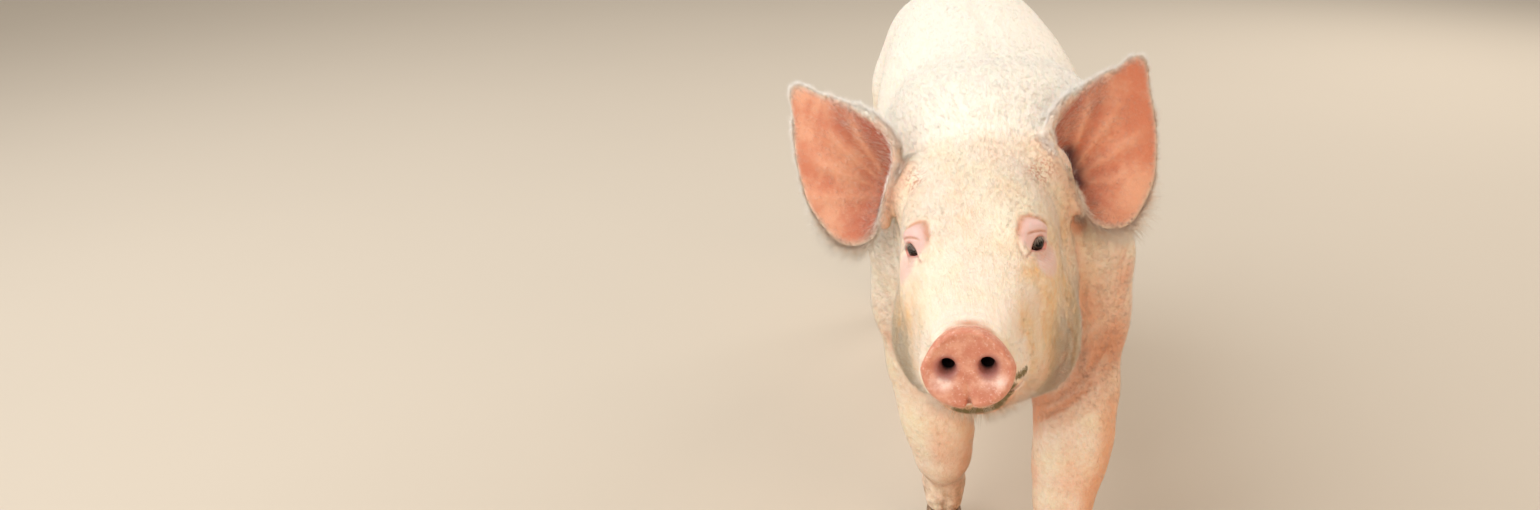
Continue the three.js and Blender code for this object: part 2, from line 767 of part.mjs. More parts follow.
let face = piece(bodyField, head, [-150, -SKULL_CENTRE - 2, -150], [150, HEAD_BACK, 190], CELL.head);
face = face.subtract(block(snout, [-80, -60, -90], [80, snoutBack, 90], CUT / 2));
const jawBlock = [
  [-120, -60, -140],
  [120, MOUTH.length, 0],
];
const jaw = largest(face.intersect(block(mouth, ...jawBlock)));
face = face.subtract(block(mouth, ...jawBlock, CUT / 2));
for (const slot of slots) face = face.subtract(slot);
for (const side of [LEFT, RIGHT]) face = face.subtract(lens(side, CUT));
addNode("lower_jaw", jaw, skin);
let disc = piece(headField, snout, [-50, -12, -42], [50, snoutBack, 42], CELL.snout);
for (const side of [LEFT, RIGHT]) {
  disc = disc.subtract(nostril(side));
  face = face.subtract(nostril(side));
}
addNode("head", largest(face), skin);
addNode("snout_disc", disc, pink);
for (const [name, ear] of Object.entries(EARS)) {
  addNode(name, blade(ear, EAR.thickness / 2, EAR.thickness / 2, 0), pink);
}
addNode("eye_left", lens(LEFT, 0), dark);
addNode("eye_right", lens(RIGHT, 0), dark);

let neck = piece(bodyField, plain, [-180, -150, LEG_TOP], [180, NECK_END, 620], CELL.neck);
neck = neck.subtract(block(head, [-300, -300, -300], [300, HEAD_BACK, 300], CUT / 2));
for (const slot of slots) neck = neck.subtract(slot);
addNode("neck", largest(neck), skin);
const slice = (front, back) => piece(bodyField, plain, [-180, front, LEG_TOP], [180, back, 620], CELL.trunk);
addNode("shoulders", slice(NECK_END, BARREL[0]), skin);
addNode("barrel", slice(...BARREL), skin);
addNode("rump", slice(BARREL[1], RUMP_END).subtract(tail(CUT, CUT / 2)), skin);
addNode("tail", tail(0, -CUT / 2), skin);

for (const [name, leg] of Object.entries(LEGS)) {
  const { joints, knee, side, hoof } = leg;
  const reach = joints.map((j) => j[1]);
  const low = [side === LEFT ? 2 : -170, min(...reach) - 50, CORONET];
  const high = [side === LEFT ? 170 : -2, max(...reach) + 60, LEG_TOP];
  const whole = piece(bodyField, plain, low, high, CELL.leg);
  const middle = joints[knee][2];
  addNode(`${name}_upper`, whole.intersect(block(plain, [low[0], low[1], middle], high)), skin);
  let foot = whole.intersect(block(plain, low, [high[0], high[1], middle]));
  const [fx, fy, fz] = joints[joints.length - 2];
  for (const inner of [LEFT, RIGHT]) {
    const spot = [fx + inner * DEWCLAW.spread, fy + DEWCLAW.behind, fz + DEWCLAW.up];
    foot = foot.subtract(ball(spot, DEWCLAW.radii.map((r) => r + CUT), SEGMENTS.dewclaw));
    const edge = inner === LEFT ? "left" : "right";
    addNode(`${name}_dewclaw_${edge}`, ball(spot, DEWCLAW.radii, SEGMENTS.dewclaw), horn);
    addNode(`${name}_claw_${edge}`, claw(hoof, inner), horn);
  }
  addNode(`${name}_lower`, largest(foot), skin);
}

const box = new THREE.Box3().setFromObject(pig);
const shift = [-(box.min.x + box.max.x) / 2, -(box.min.y + box.max.y) / 2, -box.min.z];
for (const mesh of pig.children) mesh.geometry.translate(...shift);

export default pig;
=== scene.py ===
"""The looks of a young domestic pig in a slow walk, with its head turned a little to one side.

The anatomy classes describe the body as one smooth distance field in millimetres, negative inside, in which
the pig faces -Y with its left side at +X. The skin is meshed from that field, the coat grows out of the skin,
and the eyes and hooves are pieces of their own. Every mesh ends up in metres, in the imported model's frame.
"""

import json
import logging
import math
from collections.abc import Callable, Sequence
from concurrent.futures import ThreadPoolExecutor
from dataclasses import dataclass, field
from enum import Enum

import bpy
import numpy as np
from mathutils import Matrix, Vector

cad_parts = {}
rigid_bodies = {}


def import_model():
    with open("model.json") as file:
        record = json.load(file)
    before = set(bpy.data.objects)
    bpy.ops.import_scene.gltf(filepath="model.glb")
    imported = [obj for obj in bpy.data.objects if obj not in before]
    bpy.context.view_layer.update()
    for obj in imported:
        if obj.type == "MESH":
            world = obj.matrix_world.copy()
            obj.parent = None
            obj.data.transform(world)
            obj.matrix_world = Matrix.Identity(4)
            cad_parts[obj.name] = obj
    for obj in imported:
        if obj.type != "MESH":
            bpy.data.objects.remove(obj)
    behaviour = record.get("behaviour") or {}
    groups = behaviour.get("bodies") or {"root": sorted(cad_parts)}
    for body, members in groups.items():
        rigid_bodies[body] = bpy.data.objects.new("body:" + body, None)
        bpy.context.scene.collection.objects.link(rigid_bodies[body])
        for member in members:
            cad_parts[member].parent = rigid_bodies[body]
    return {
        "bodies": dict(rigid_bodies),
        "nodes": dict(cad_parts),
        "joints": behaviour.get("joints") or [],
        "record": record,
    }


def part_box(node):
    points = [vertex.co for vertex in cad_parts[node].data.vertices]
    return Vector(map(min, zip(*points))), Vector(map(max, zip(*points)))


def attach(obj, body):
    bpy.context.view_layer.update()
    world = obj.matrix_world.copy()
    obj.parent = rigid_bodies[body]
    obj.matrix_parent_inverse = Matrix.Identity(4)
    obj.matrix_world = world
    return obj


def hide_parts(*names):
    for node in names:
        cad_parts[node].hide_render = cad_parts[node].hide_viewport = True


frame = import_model()

LOG = logging.getLogger("pig")
Array = np.ndarray
Object = bpy.types.Object
Material = bpy.types.Material
Field = Callable[[Array], Array]
Pair = tuple[float, float]
Triple = tuple[float, float, float]
Ball = tuple[float, float, float, float]
Path = tuple[Triple, ...]
Table = tuple[tuple[float, ...], ...]
Colour = Triple
LEFT = 1
RIGHT = -1
SIDES = (LEFT, RIGHT)
TINY = 1e-6
FAR = 1e3
MM = 0.001
EYE_AT = (45, 159, 48)
TAIL_Y = 640
LEG_Z = 262


# ---------------------------------------------------------------- distance fields


def melt(a: Array, b: Array, k: float) -> Array:
    """Joins two distances with a fillet of about k."""
    h = np.maximum(k - np.abs(a - b), 0) / k
    return np.minimum(a, b) - h * h * k / 4


def carve(a: Array, b: Array, k: float) -> Array:
    """Cuts b out of a with a rounded edge of about k."""
    return -melt(-a, b, k)


def dot(a: Array, b: Array) -> Array:
    """The scalar product of each pair of vectors."""
    return np.einsum("ij,ij->i", a, b)


def ellipsoid(p: Array, centre: Sequence[float], half: Sequence[float]) -> Array:
    """The distance to an ellipsoid, exact near its surface.

    Args:
        p: The points.
        centre: Its middle.
        half: Its half sizes.

    Returns:
        One distance for each point.
    """
    q = (p - np.array(centre)) / np.array(half)
    r = q / np.array(half)
    k0 = np.sqrt(dot(q, q))
    return k0 * (k0 - 1) / (np.sqrt(dot(r, r)) + TINY * TINY)


def limb(p: Array, start: Sequence[float], end: Sequence[float]) -> Array:
    """The distance to a cone between two balls, each given as its centre and radius.

    Args:
        p: The points.
        start: The first ball's x, y, z and radius.
        end: The second ball's.

    Returns:
        One distance for each point.
    """
    a, ra = np.array(start[:3], float), start[3]
    b, rb = np.array(end[:3], float), end[3]
    u = b - a
    v = p - a
    l2 = float(u @ u)
    rr = ra - rb
    a2 = l2 - rr * rr
    along = v @ u
    past = along - l2
    w = v * l2 - along[:, None] * u
    x2 = dot(w, w)
    y2 = along * along * l2
    z2 = past * past * l2
    k = math.copysign(rr * rr, rr) * x2
    middle = (np.sqrt(x2 * a2 / l2) + along * rr) / l2 - ra
    tail_end = np.sqrt(x2 + z2) / l2 - rb
    head_end = np.sqrt(x2 + y2) / l2 - ra
    inner = np.where(np.sign(along) * a2 * y2 < k, head_end, middle)
    return np.where(np.sign(past) * a2 * z2 > k, tail_end, inner)


def profile(rows: Table, column: int, s: Array) -> Array:
    """A column of a station table at s, by a smooth curve through its rows.

    Args:
        rows: The stations.
        column: The column's number.
        s: The places.

    Returns:
        One value for each place.
    """
    x, y = np.array(rows, float).T[[0, column]]
    last = len(x) - 1
    before, after = np.maximum(np.arange(last + 1) - 1, 0), np.minimum(np.arange(last + 1) + 1, last)
    slope = (y[after] - y[before]) / (x[after] - x[before])
    c = np.clip(s, x[0], x[-1])
    i = np.clip(np.searchsorted(x, c) - 1, 0, last - 1)
    h = x[i + 1] - x[i]
    t = (c - x[i]) / h
    t2 = t * t
    t3 = t2 * t
    return (
        (2 * t3 - 3 * t2 + 1) * y[i]
        + (t3 - 2 * t2 + t) * h * slope[i]
        + (3 * t2 - 2 * t3) * y[i + 1]
        + (t3 - t2) * h * slope[i + 1]
    )


def loft(rows: Table, p: Array, squareness: float, rounding: float) -> Array:
    """A long form whose top, bottom and width follow a station table along the second axis.

    Args:
        rows: Stations, each with its place, top, bottom and half width.
        p: The points.
        squareness: 2 gives oval sections, more gives boxier ones.
        rounding: How far the two ends are rounded.

    Returns:
        One distance for each point.
    """
    x, s, z = p.T
    top, bottom, wide = (profile(rows, c, s) for c in (1, 2, 3))
    tall = (top - bottom) / 2
    dz = z - (top + bottom) / 2
    q = (np.abs(x / wide) ** squareness + np.abs(dz / tall) ** squareness) ** (1 / squareness)
    section = np.where(q > TINY, np.hypot(x, dz) * (1 - 1 / np.maximum(q, TINY)), -np.minimum(wide, tall))
    ends = np.maximum(rows[0][0] - s, s - rows[-1][0])
    return -melt(-section, -ends, rounding)


def bump(x: Array, width: float) -> Array:
    """A smooth hump of height 1 round zero."""
    return np.exp(-((x / width) ** 2))


def step(x: Array, low: float, high: float) -> Array:
    """A smooth step from 0 at low to 1 at high."""
    t = np.clip((x - low) / (high - low), 0, 1)
    return t * t * (3 - 2 * t)


def span(x: Array, low: float, full: float, fade: float, end: float) -> Array:
    """A smooth rise from low to full, and a smooth fall from fade to end."""
    return step(x, low, full) * (1 - step(x, fade, end))


def blend(a: Array, b: Array, share: Array) -> Array:
    """A mixture of two values, for arrays and wires alike."""
    return a * (1 - share) + b * share


def slab(a: Array, b: Array) -> Array:
    """The distance to what lies inside two distances, exact outside both."""
    return np.minimum(np.maximum(a, b), 0) + np.hypot(np.maximum(a, 0), np.maximum(b, 0))


def within(p: Array, low: Sequence[float], high: Sequence[float]) -> Array:
    """Which points lie in a box."""
    return ((p >= np.array(low)) & (p <= np.array(high))).all(1)


def unit(v: Array) -> Array:
    """Vectors at length 1."""
    return v / (np.linalg.norm(v, axis=-1, keepdims=True) + TINY)


def from_path(p: Array, path: Sequence[Sequence[float]]) -> Array:
    """The distance from points to a path of straight pieces, in as many axes as the path has.

    Args:
        p: The points.
        path: The path's corners.

    Returns:
        One distance for each point.
    """
    out = np.full(len(p), FAR)
    rows = np.array(path, float)
    for a, b in zip(rows[:-1], rows[1:]):
        v, u = p - a, b - a
        t = np.clip(v @ u / (u @ u), 0, 1)
        out = np.minimum(out, np.linalg.norm(v - t[:, None] * u, axis=1))
    return out


def mirrored(q: Array) -> Array:
    """Points of the head's frame brought to its left half."""
    return np.stack([np.abs(q[:, 0]), q[:, 1], q[:, 2]], 1)


class Ripple:
    """Smooth random waves through space, for folds and mottling that never repeat."""

    def __init__(self, size: float, seed: int, waves: int = 5) -> None:
        """Draws the waves: their length is about size, in millimetres.

        Args:
            size: The waves' length, in millimetres.
            seed: The seed of the draws.
            waves: How many waves there are.
        """
        rng = np.random.default_rng(seed)
        ways = unit(rng.normal(size=(waves, 3))) * (2 * math.pi / size)
        self.ways = ways * rng.uniform(0.6, 1.5, (waves, 1))
        self.phases = rng.uniform(0, 2 * math.pi, waves)

    def at(self, p: Array) -> Array:
        """Values from about -1 to 1."""
        return np.sin(p @ self.ways.T + self.phases).sum(1) / math.sqrt(len(self.phases))


class Marks(dict[str, Array]):
    """Masks by name, each the largest of all that it was given."""

    def add(self, name: str, value: Array) -> None:
        """Raises a mask to a value."""
        self[name] = np.maximum(self[name], value) if name in self else value


class Turned:
    """A turned frame: local() takes points into it and world() brings them back."""

    def __init__(self, basis: Array, origin: Array) -> None:
        """Keeps the frame's axes as columns, and its origin."""
        self.basis = basis
        self.origin = origin

    def local(self, p: Array) -> Array:
        """Points in this frame."""
        return (p - self.origin) @ self.basis

    def world(self, q: Array) -> Array:
        """Points brought back from this frame."""
        return q @ self.basis.T + self.origin

    def turn(self, v: Array) -> Array:
        """Directions brought back from this frame."""
        return v @ self.basis.T

    def within(self, basis: Array, origin: Array) -> "Turned":
        """A frame given in this one's terms."""
        return Turned(self.basis @ basis, self.world(origin))


@dataclass(frozen=True)
class Form:
    """A muscle or bony form melted into both sides of the body."""

    at: Triple
    half: Triple
    fillet: float

    def add(self, d: Array, p: Array, lead: float = 0.0) -> Array:
        """Melts the form into a distance, the left one further forward by lead and the right one back.

        Args:
            d: The distance so far.
            p: The points.
            lead: How far forward the left one is.

        Returns:
            The new distance.
        """
        x, y, z = self.at
        reach = np.array(self.half) + self.fillet + 10
        for side in SIDES:
            centre = np.array([side * x, y - side * lead, z])
            near = within(p, centre - reach, centre + reach)
            if near.any():
                d[near] = melt(d[near], ellipsoid(p[near], centre, self.half), self.fillet)
        return d


# ---------------------------------------------------------------- anatomy


@dataclass
class Trunk:
    """The trunk with its shoulders and hams, and the two rows of teats."""

    rows: Table = (
        (-70, 500, 345, 56), (-35, 518, 300, 86), (15, 531, 270, 110), (90, 536, 258, 121),
        (170, 540, 253, 123), (260, 546, 250, 126), (350, 550, 252, 121), (430, 549, 264, 115),
        (500, 541, 288, 109), (560, 524, 318, 100), (610, 497, 345, 86), (640, 468, 370, 68),
    )
    squareness: float = 2.2
    rounding: float = 60
    lead: float = 10
    forms: tuple[Form, ...] = (
        Form((77, 18, 346), (40, 72, 100), 40),
        Form((62, 64, 420), (38, 72, 84), 50),
        Form((60, 534, 374), (46, 94, 108), 50),
    )
    teat_places: tuple[float, ...] = (96, 150, 206, 264, 322, 380, 436)
    teat_spread: float = 42
    teat_radius: float = 4.2

    def distance(self, p: Array) -> Array:
        """The distance to the trunk without its teats.

        Args:
            p: The points.

        Returns:
            One distance for each point.
        """
        d = loft(self.rows, p, self.squareness, self.rounding)
        for form in self.forms:
            d = form.add(d, p, self.lead)
        return d

    def teats(self) -> Array:
        """The teats' tips, as rows of x, y and z."""
        found = []
        for side in SIDES:
            for i, y in enumerate(self.teat_places):
                place = y + side * (4 if i % 2 else -3)
                x = side * (self.teat_spread + (3 if i % 2 else 0))
                top, bottom, wide = (float(profile(self.rows, c, np.array([place]))[0]) for c in (1, 2, 3))
                middle, tall = (top + bottom) / 2, (top - bottom) / 2
                low = middle - tall * (1 - abs(x / wide) ** self.squareness) ** (1 / self.squareness)
                found.append([x, place, low])
        return np.array(found)

    def add_teats(self, d: Array, p: Array) -> Array:
        """Melts the teats into a distance.

        Args:
            d: The distance so far.
            p: The points.

        Returns:
            The new distance.
        """
        near = within(p, (-80, 60, 200), (80, 470, 330))
        if near.any():
            q, part = p[near], d[near]
            r = self.teat_radius
            for x, y, z in self.teats():
                part = melt(part, limb(q, (x, y, z + 4, r + 1.5), (x * 1.02, y - 1, z - 3.5, r - 1)), 6)
            d = d.copy()
            d[near] = part
        return d


@dataclass
class Head:
    """The head in its own frame: x to the left, the second axis back from the snout disc, z up."""

    origin: Triple = (-33, -146, 384)
    yaw: float = -0.143
    pitch: float = -0.123
    roll: float = -0.105
    centre: float = 200
    skull: Table = (
        (2, 26, -22, 28), (30, 27, -25, 31), (62, 31, -28, 38), (95, 40, -30, 47), (128, 55, -32, 56),
        (160, 74, -34, 63), (195, 94, -34, 69), (230, 108, -30, 71), (262, 113, -24, 68),
        (285, 110, -20, 62),
    )
    jaw: Table = (
        (17, -26, -46, 19), (40, -12, -54, 29), (80, 2, -67, 44), (120, 14, -83, 57), (160, 26, -98, 67),
        (200, 36, -109, 75), (240, 40, -111, 78), (275, 40, -102, 75),
    )
    squareness: float = 2.4
    forms: tuple[Form, ...] = (
        Form((48, 216, -50), (32, 50, 50), 24),
        Form((38, 172, 57), (18, 30, 14), 20),
        Form((52, 172, 10), (11, 48, 22), 20),
        Form((25, 60, -18), (16, 46, 18), 16),
        Form((62, 268, 74), (22, 26, 34), 24),
    )
    disc_half: Triple = (34.5, 7, 29.5)
    disc_tilt: float = 0.16
    disc_centre: Triple = (0, 5, -1)
    nostril_spread: float = 15.4
    nostril_up: float = 1
    mouth_front: float = 10
    mouth_height: float = -26
    mouth_rise: float = 0.13
    mouth_length: float = 84
    mud: Path = (
        (41, 42, -18), (36, 25, -16), (33.5, 12, -14), (30, 13, -21), (26, 17, -29), (22, 25, -37),
        (16, 24, -41), (8, 22, -43), (-2, 24, -44.5), (-11, 23, -43),
    )
    # The creases and folds below sink the skin and carry painted shade in its colour.
    jowl_crease: Path = (
        (83, 262, 34), (85, 268, 22), (86, 274, -8), (86.5, 286, -47), (86, 300, -82), (84, 307, -105),
        (82, 304, -125),
    )
    chest_folds: tuple[Path, ...] = (
        (
            (112, 320, -104), (106, 314, -112), (91, 303, -128), (73, 296, -142), (54, 300, -157),
            (34, 328, -173),
        ),
        ((92, 301, -140), (75, 294, -154), (56, 298, -168), (42, 309, -179)),
    )
    cheek_fold: Path = ((66, 150, 0), (72, 172, -22), (75, 181, -52), (72, 186, -78))
    rust_spots: Path = ((54, 230, 89), (61, 244, 93))

    def __post_init__(self) -> None:
        """Works out the head's frame."""
        cy, sy = math.cos(self.yaw), math.sin(self.yaw)
        cp, sp = math.cos(self.pitch), math.sin(self.pitch)
        cr, sr = math.cos(self.roll), math.sin(self.roll)
        yaw = np.array([[cy, -sy, 0], [sy, cy, 0], [0, 0, 1]])
        pitch = np.array([[1, 0, 0], [0, cp, -sp], [0, sp, cp]])
        roll = np.array([[cr, 0, sr], [0, 1, 0], [-sr, 0, cr]])
        basis = yaw @ pitch @ roll
        self.frame = Turned(basis, np.array([0.0, -self.centre, 0.0]) @ basis.T + np.array(self.origin))

    def spot(self, x: float, behind: float, z: float) -> Array:
        """A place in the body's frame, given in the head's."""
        return self.frame.world(np.array([x, behind, z], float))

    def distance(self, p: Array) -> Array:
        """The distance to the head without its ears, eyes and openings.

        Args:
            p: The points.

        Returns:
            One distance for each point.
        """
        q = self.frame.local(p)
        d = melt(loft(self.skull, q, self.squareness, 24), loft(self.jaw, q, self.squareness, 20), 18)
        for form in self.forms:
            d = form.add(d, q)
        for side in SIDES:
            d = carve(d, ellipsoid(q, (side * 60, 156, 48), (8, 15, 9)), 12)
        return melt(d, self.disc(q), 7)

    def disc_axes(self, q: Array) -> tuple[Array, Array]:
        """How far points lie behind the disc's middle plane, and up it.

        Args:
            q: The points, in the head's frame.

        Returns:
            Both lengths for each point.
        """
        ds = q[:, 1] - self.disc_centre[1]
        dz = q[:, 2] - self.disc_centre[2]
        c, s = math.cos(self.disc_tilt), math.sin(self.disc_tilt)
        return ds * c - dz * s, ds * s + dz * c

    def disc_reach(self, x: Array, up: Array) -> Array:
        """How far out points lie on the disc: 1 is its rim.

        Args:
            x: How far left the points lie.
            up: How far up the disc they lie.

        Returns:
            One share for each point.
        """
        wide, _, tall = self.disc_half
        width = wide * (1 - 0.3 * np.maximum(up / tall, 0) + 0.06 * np.minimum(up / tall, 0))
        return (np.abs(x / width) ** 2.3 + np.abs(up / tall) ** 2.3) ** (1 / 2.3)

    def disc(self, q: Array) -> Array:
        """The distance to the snout disc with its lower notch.

        Args:
            q: The points, in the head's frame.

        Returns:
            One distance for each point.
        """
        _, thick, tall = self.disc_half
        x = q[:, 0]
        along, up = self.disc_axes(q)
        reach = self.disc_reach(x, up)
        edge = 5
        rim = np.where(reach > TINY, np.hypot(x, up) * (1 - 1 / np.maximum(reach, TINY)), -tall) + edge
        face = np.abs(along) - thick + edge
        disc = slab(rim, face) - edge
        notch = ellipsoid(np.stack([x, along, up], 1), (0, -thick, -tall - 2), (2.6, 13, 7.5))
        return carve(disc, notch, 5)

    def nostrils(self, q: Array) -> Array:
        """The distance to the two nostrils, each a slightly oval tunnel that turns inwards.

        Args:
            q: The points, in the head's frame.

        Returns:
            One distance for each point.
        """
        d = np.full(len(q), FAR)
        for side in SIDES:
            x = side * self.nostril_spread
            mouth = (x, -5, self.nostril_up, 6.2)
            bend = (x * 0.92, 8, self.nostril_up + 1, 4.9)
            end = (x * 0.75, 30, self.nostril_up + 2, 3.2)
            d = np.minimum(d, np.minimum(limb(q, mouth, bend), limb(q, bend, end)))
        return d

    def mouth_line(self, q: Array) -> tuple[Array, Array]:
        """The height above the line between the lips, and how strongly the lips part there.

        Args:
            q: The points, in the head's frame.

        Returns:
            Both for each point, the second from 0 to 1.
        """
        s = q[:, 1] - self.mouth_front
        line = self.mouth_height + self.mouth_rise * s + 5.0 * step(s, 52, 84) - 1.5 * bump(s - 30, 16)
        parting = step(s, -14, -4) * (1 - 0.85 * step(s, 26, 46))
        return q[:, 2] - line, parting * (1 - step(s, self.mouth_length - 14, self.mouth_length))


@dataclass
class Ear:
    """One erect ear, in its blade's frame: u along it, v across it, w out of its hollow."""

    side: int
    root: Triple
    along: Triple
    facing: Triple
    head: Head
    middle: Pair = (62, 27)
    cup: float = 34
    cup_at: Pair = (12, 20)
    cup_size: Pair = (50, 36)
    # Paths on the blade where near-black shade is painted deep in the hollow, and along the lip of the rolled
    # edge.
    canal: tuple[Pair, ...] = ((34, 8), (28, 19), (23, 28))
    canal_reach: float = 15
    canal_lip: tuple[Pair, ...] = ()
    root_colour: float = 0.36
    # Places where shade is painted in the hollow between the ear's root and the head.
    pockets: tuple[Triple, ...] = ()
    roll: tuple[Ball, ...] = (
        (84, -30, -1.5, 1.2), (64, -32, -0.6, 1.9), (44, -31.5, 0.5, 2.8), (28, -26.5, 1.5, 3.7),
        (16, -13, 2.5, 4.4), (8.5, 4, 2.5, 4.8), (1.5, 22, 2, 4.8), (-7, 39, 1, 5.6),
    )
    outline: Table = (
        (-162, 53), (-139, 62), (-121, 64), (-98, 62), (-70, 58), (-35, 71), (-17, 92), (0, 68), (27, 53),
        (60, 49), (90, 56), (109, 64), (124, 74), (139, 78), (156, 75), (172, 61), (198, 53), (221, 62),
    )

    def __post_init__(self) -> None:
        """Works out the blade's frame."""
        flip = np.array([self.side, 1, 1])
        x = unit(flip * self.along)
        y = unit(np.cross(flip * self.facing, x)) * -self.side
        z = unit(np.cross(x, y)) * -self.side
        self.frame = self.head.frame.within(np.stack([x, y, z], 1), flip * self.root)

    def polar(self, q: Array) -> tuple[Array, Array, Array]:
        """The distance from the blade's middle, the outline's reach that way, and their ratio.

        Args:
            q: The points, in the blade's frame.

        Returns:
            All three for each point.
        """
        du, dv = q[:, 0] - self.middle[0], q[:, 1] - self.middle[1]
        degrees = np.degrees(np.arctan2(dv, du))
        degrees = np.where(degrees < self.outline[0][0], degrees + 360, degrees)
        reach = profile(self.outline, 1, degrees)
        r = np.hypot(du, dv)
        return r, reach, r / reach

    def bend(self, q: Array, share: Array) -> tuple[Array, Array]:
        """The height of the blade's middle surface, and how much its slope stretches it.

        Args:
            q: The points, in the blade's frame.
            share: How far out they lie, with 1 at the rim.

        Returns:
            Both for each point.
        """
        a = (q[:, 0] - self.cup_at[0]) / self.cup_size[0]
        b = (q[:, 1] - self.cup_at[1]) / self.cup_size[1]
        depth = self.cup * np.exp(-(a * a + b * b)) * (1 - np.minimum(share, 1) ** 4)
        slope = 2 * depth * np.hypot(a / self.cup_size[0], b / self.cup_size[1])
        return -depth, np.sqrt(1 + slope * slope)

    def half(self, share: Array) -> Array:
        """Half the blade's thickness."""
        return 0.8 + 1.6 * np.maximum(1 - share * share, 0) ** 0.35

    def blade(self, q: Array, grow: float = 0.0) -> Array:
        """The distance to the blade, thickened by grow.

        Args:
            q: The points, in the blade's frame.
            grow: How much thicker the thin parts are.

        Returns:
            One distance for each point.
        """
        r, reach, share = self.polar(q)
        middle, stretch = self.bend(q, share)
        edge = 0.8
        thick = np.abs(q[:, 2] - middle) / stretch - self.half(share) + edge
        rim = r - reach + edge
        return slab(thick, rim) - edge - grow

    def rolled(self, d: Array, q: Array) -> Array:
        """Melts the rolled edge beside the head into a distance.

        Args:
            d: The distance so far.
            q: The points, in the blade's frame.

        Returns:
            The new distance.
        """
        roll = np.full(len(q), FAR)
        for a, b in zip(self.roll[:-1], self.roll[1:]):
            roll = np.minimum(roll, limb(q, a, b))
        return melt(d, roll, 4)

    def from_roll(self, q: Array) -> Array:
        """How far out on the blade points lie from its rolled edge."""
        return from_path(q[:, :2], [row[:2] for row in self.roll])

    def hollow(self, q: Array) -> Array:
        """The distance to the space in front of the blade.

        Args:
            q: The points, in the blade's frame.

        Returns:
            One distance for each point.
        """
        r, reach, share = self.polar(q)
        middle, stretch = self.bend(q, share)
        floor = (middle + self.half(share) * stretch - q[:, 2]) / stretch
        return np.maximum(np.maximum(floor, r - reach + 1), q[:, 2] - 3)

    def survey(self, p: Array) -> tuple[Array, Array, Array, Array]:
        """Where points lie on the blade.

        Args:
            p: The points, in the body's frame.

        Returns:
            Their places in the blade's frame, which of them are close to it, how far out they lie, with 1 at
            the rim, and their height over its middle surface, which is positive in the hollow.
        """
        q = self.frame.local(p)
        _, _, share = self.polar(q)
        middle, stretch = self.bend(q, share)
        height = (q[:, 2] - middle) / stretch
        close = within(q, (-50, -75, -70), (170, 130, 30)) & (share < 1.2) & (np.abs(height) < 12)
        return q, close, share, height

    def ridges(self, q: Array) -> Array:
        """The height of the ridges that run from the ear canal towards the tip, on the inner face.

        Args:
            q: The points, in the blade's frame.

        Returns:
            Heights from 0 to about 1.
        """
        du, dv = q[:, 0] - self.cup_at[0], q[:, 1] - self.cup_at[1] - 4
        away, angle = np.hypot(du, dv), np.arctan2(dv, du)
        fade = span(away, 10, 26, 58, 108)
        lines = bump(angle + 0.52, 0.085) + 0.9 * bump(angle + 0.16, 0.085) + 0.8 * bump(angle - 0.24, 0.09)
        lines += 0.6 * bump(angle - 0.72, 0.12)
        return lines * fade


@dataclass
class Leg:
    """One leg, from the joints' centres and radii, down to its coronet."""

    name: str
    side: int
    fore: bool
    knee: int
    hoof: Pair
    joints: tuple[Ball, ...]
    coronet: float = 32

    def box(self) -> tuple[Array, Array]:
        """Corners of a box that holds all of the leg that differs from the body."""
        centres = np.array(self.joints)[:, :3]
        reach = max(j[3] for j in self.joints) + 45
        return centres.min(0) - reach, centres.max(0) + reach

    def distance(self, p: Array) -> Array:
        """The distance to the leg, with its knee or hock, elbow and toes.

        Args:
            p: The points.

        Returns:
            One distance for each point.
        """
        d = limb(p, self.joints[0], self.joints[1])
        for i in range(1, len(self.joints) - 1):
            d = melt(d, limb(p, self.joints[i], self.joints[i + 1]), 26 if i < self.knee else 10)
        kx, ky, kz, kr = self.joints[self.knee]
        if self.fore:
            ex, ey, ez, _ = self.joints[1]
            d = melt(d, ellipsoid(p, (ex + self.side * 2, ey + 26, ez + 6), (30, 34, 34)), 26)
            return melt(d, ellipsoid(p, (kx, ky - 2, kz), (kr + 1, kr + 1, kr + 8)), 12)
        return melt(d, ellipsoid(p, (kx, ky + 20, kz + 16), (kr * 0.52, kr * 0.62, kr)), 22)

    def detail(self, p: Array) -> Array:
        """How far the surface sinks at the cleft, tendons and joint creases, in millimetres.

        Args:
            p: The points.

        Returns:
            One depth for each point.
        """
        fx, fy, fz, _ = self.joints[-2]
        low = 1 - step(p[:, 2], 40, 62)
        cleft = 4.5 * bump(p[:, 0] - self.hoof[0], 2.6) * low
        tendon = 1.6 * bump(np.abs(p[:, 0] - fx) - 11, 4) * bump(p[:, 2] - fz - 42, 34)
        tendon *= step(p[:, 1], fy, fy + 14)
        crease = 0.9 * bump(np.sin((p[:, 2] - fz) * 0.55 + 0.06 * p[:, 0]), 0.35) * bump(p[:, 2] - fz - 2, 14)
        front = 1 - step(p[:, 1], fy - 10, fy + 6)
        return cleft + tendon + crease * front


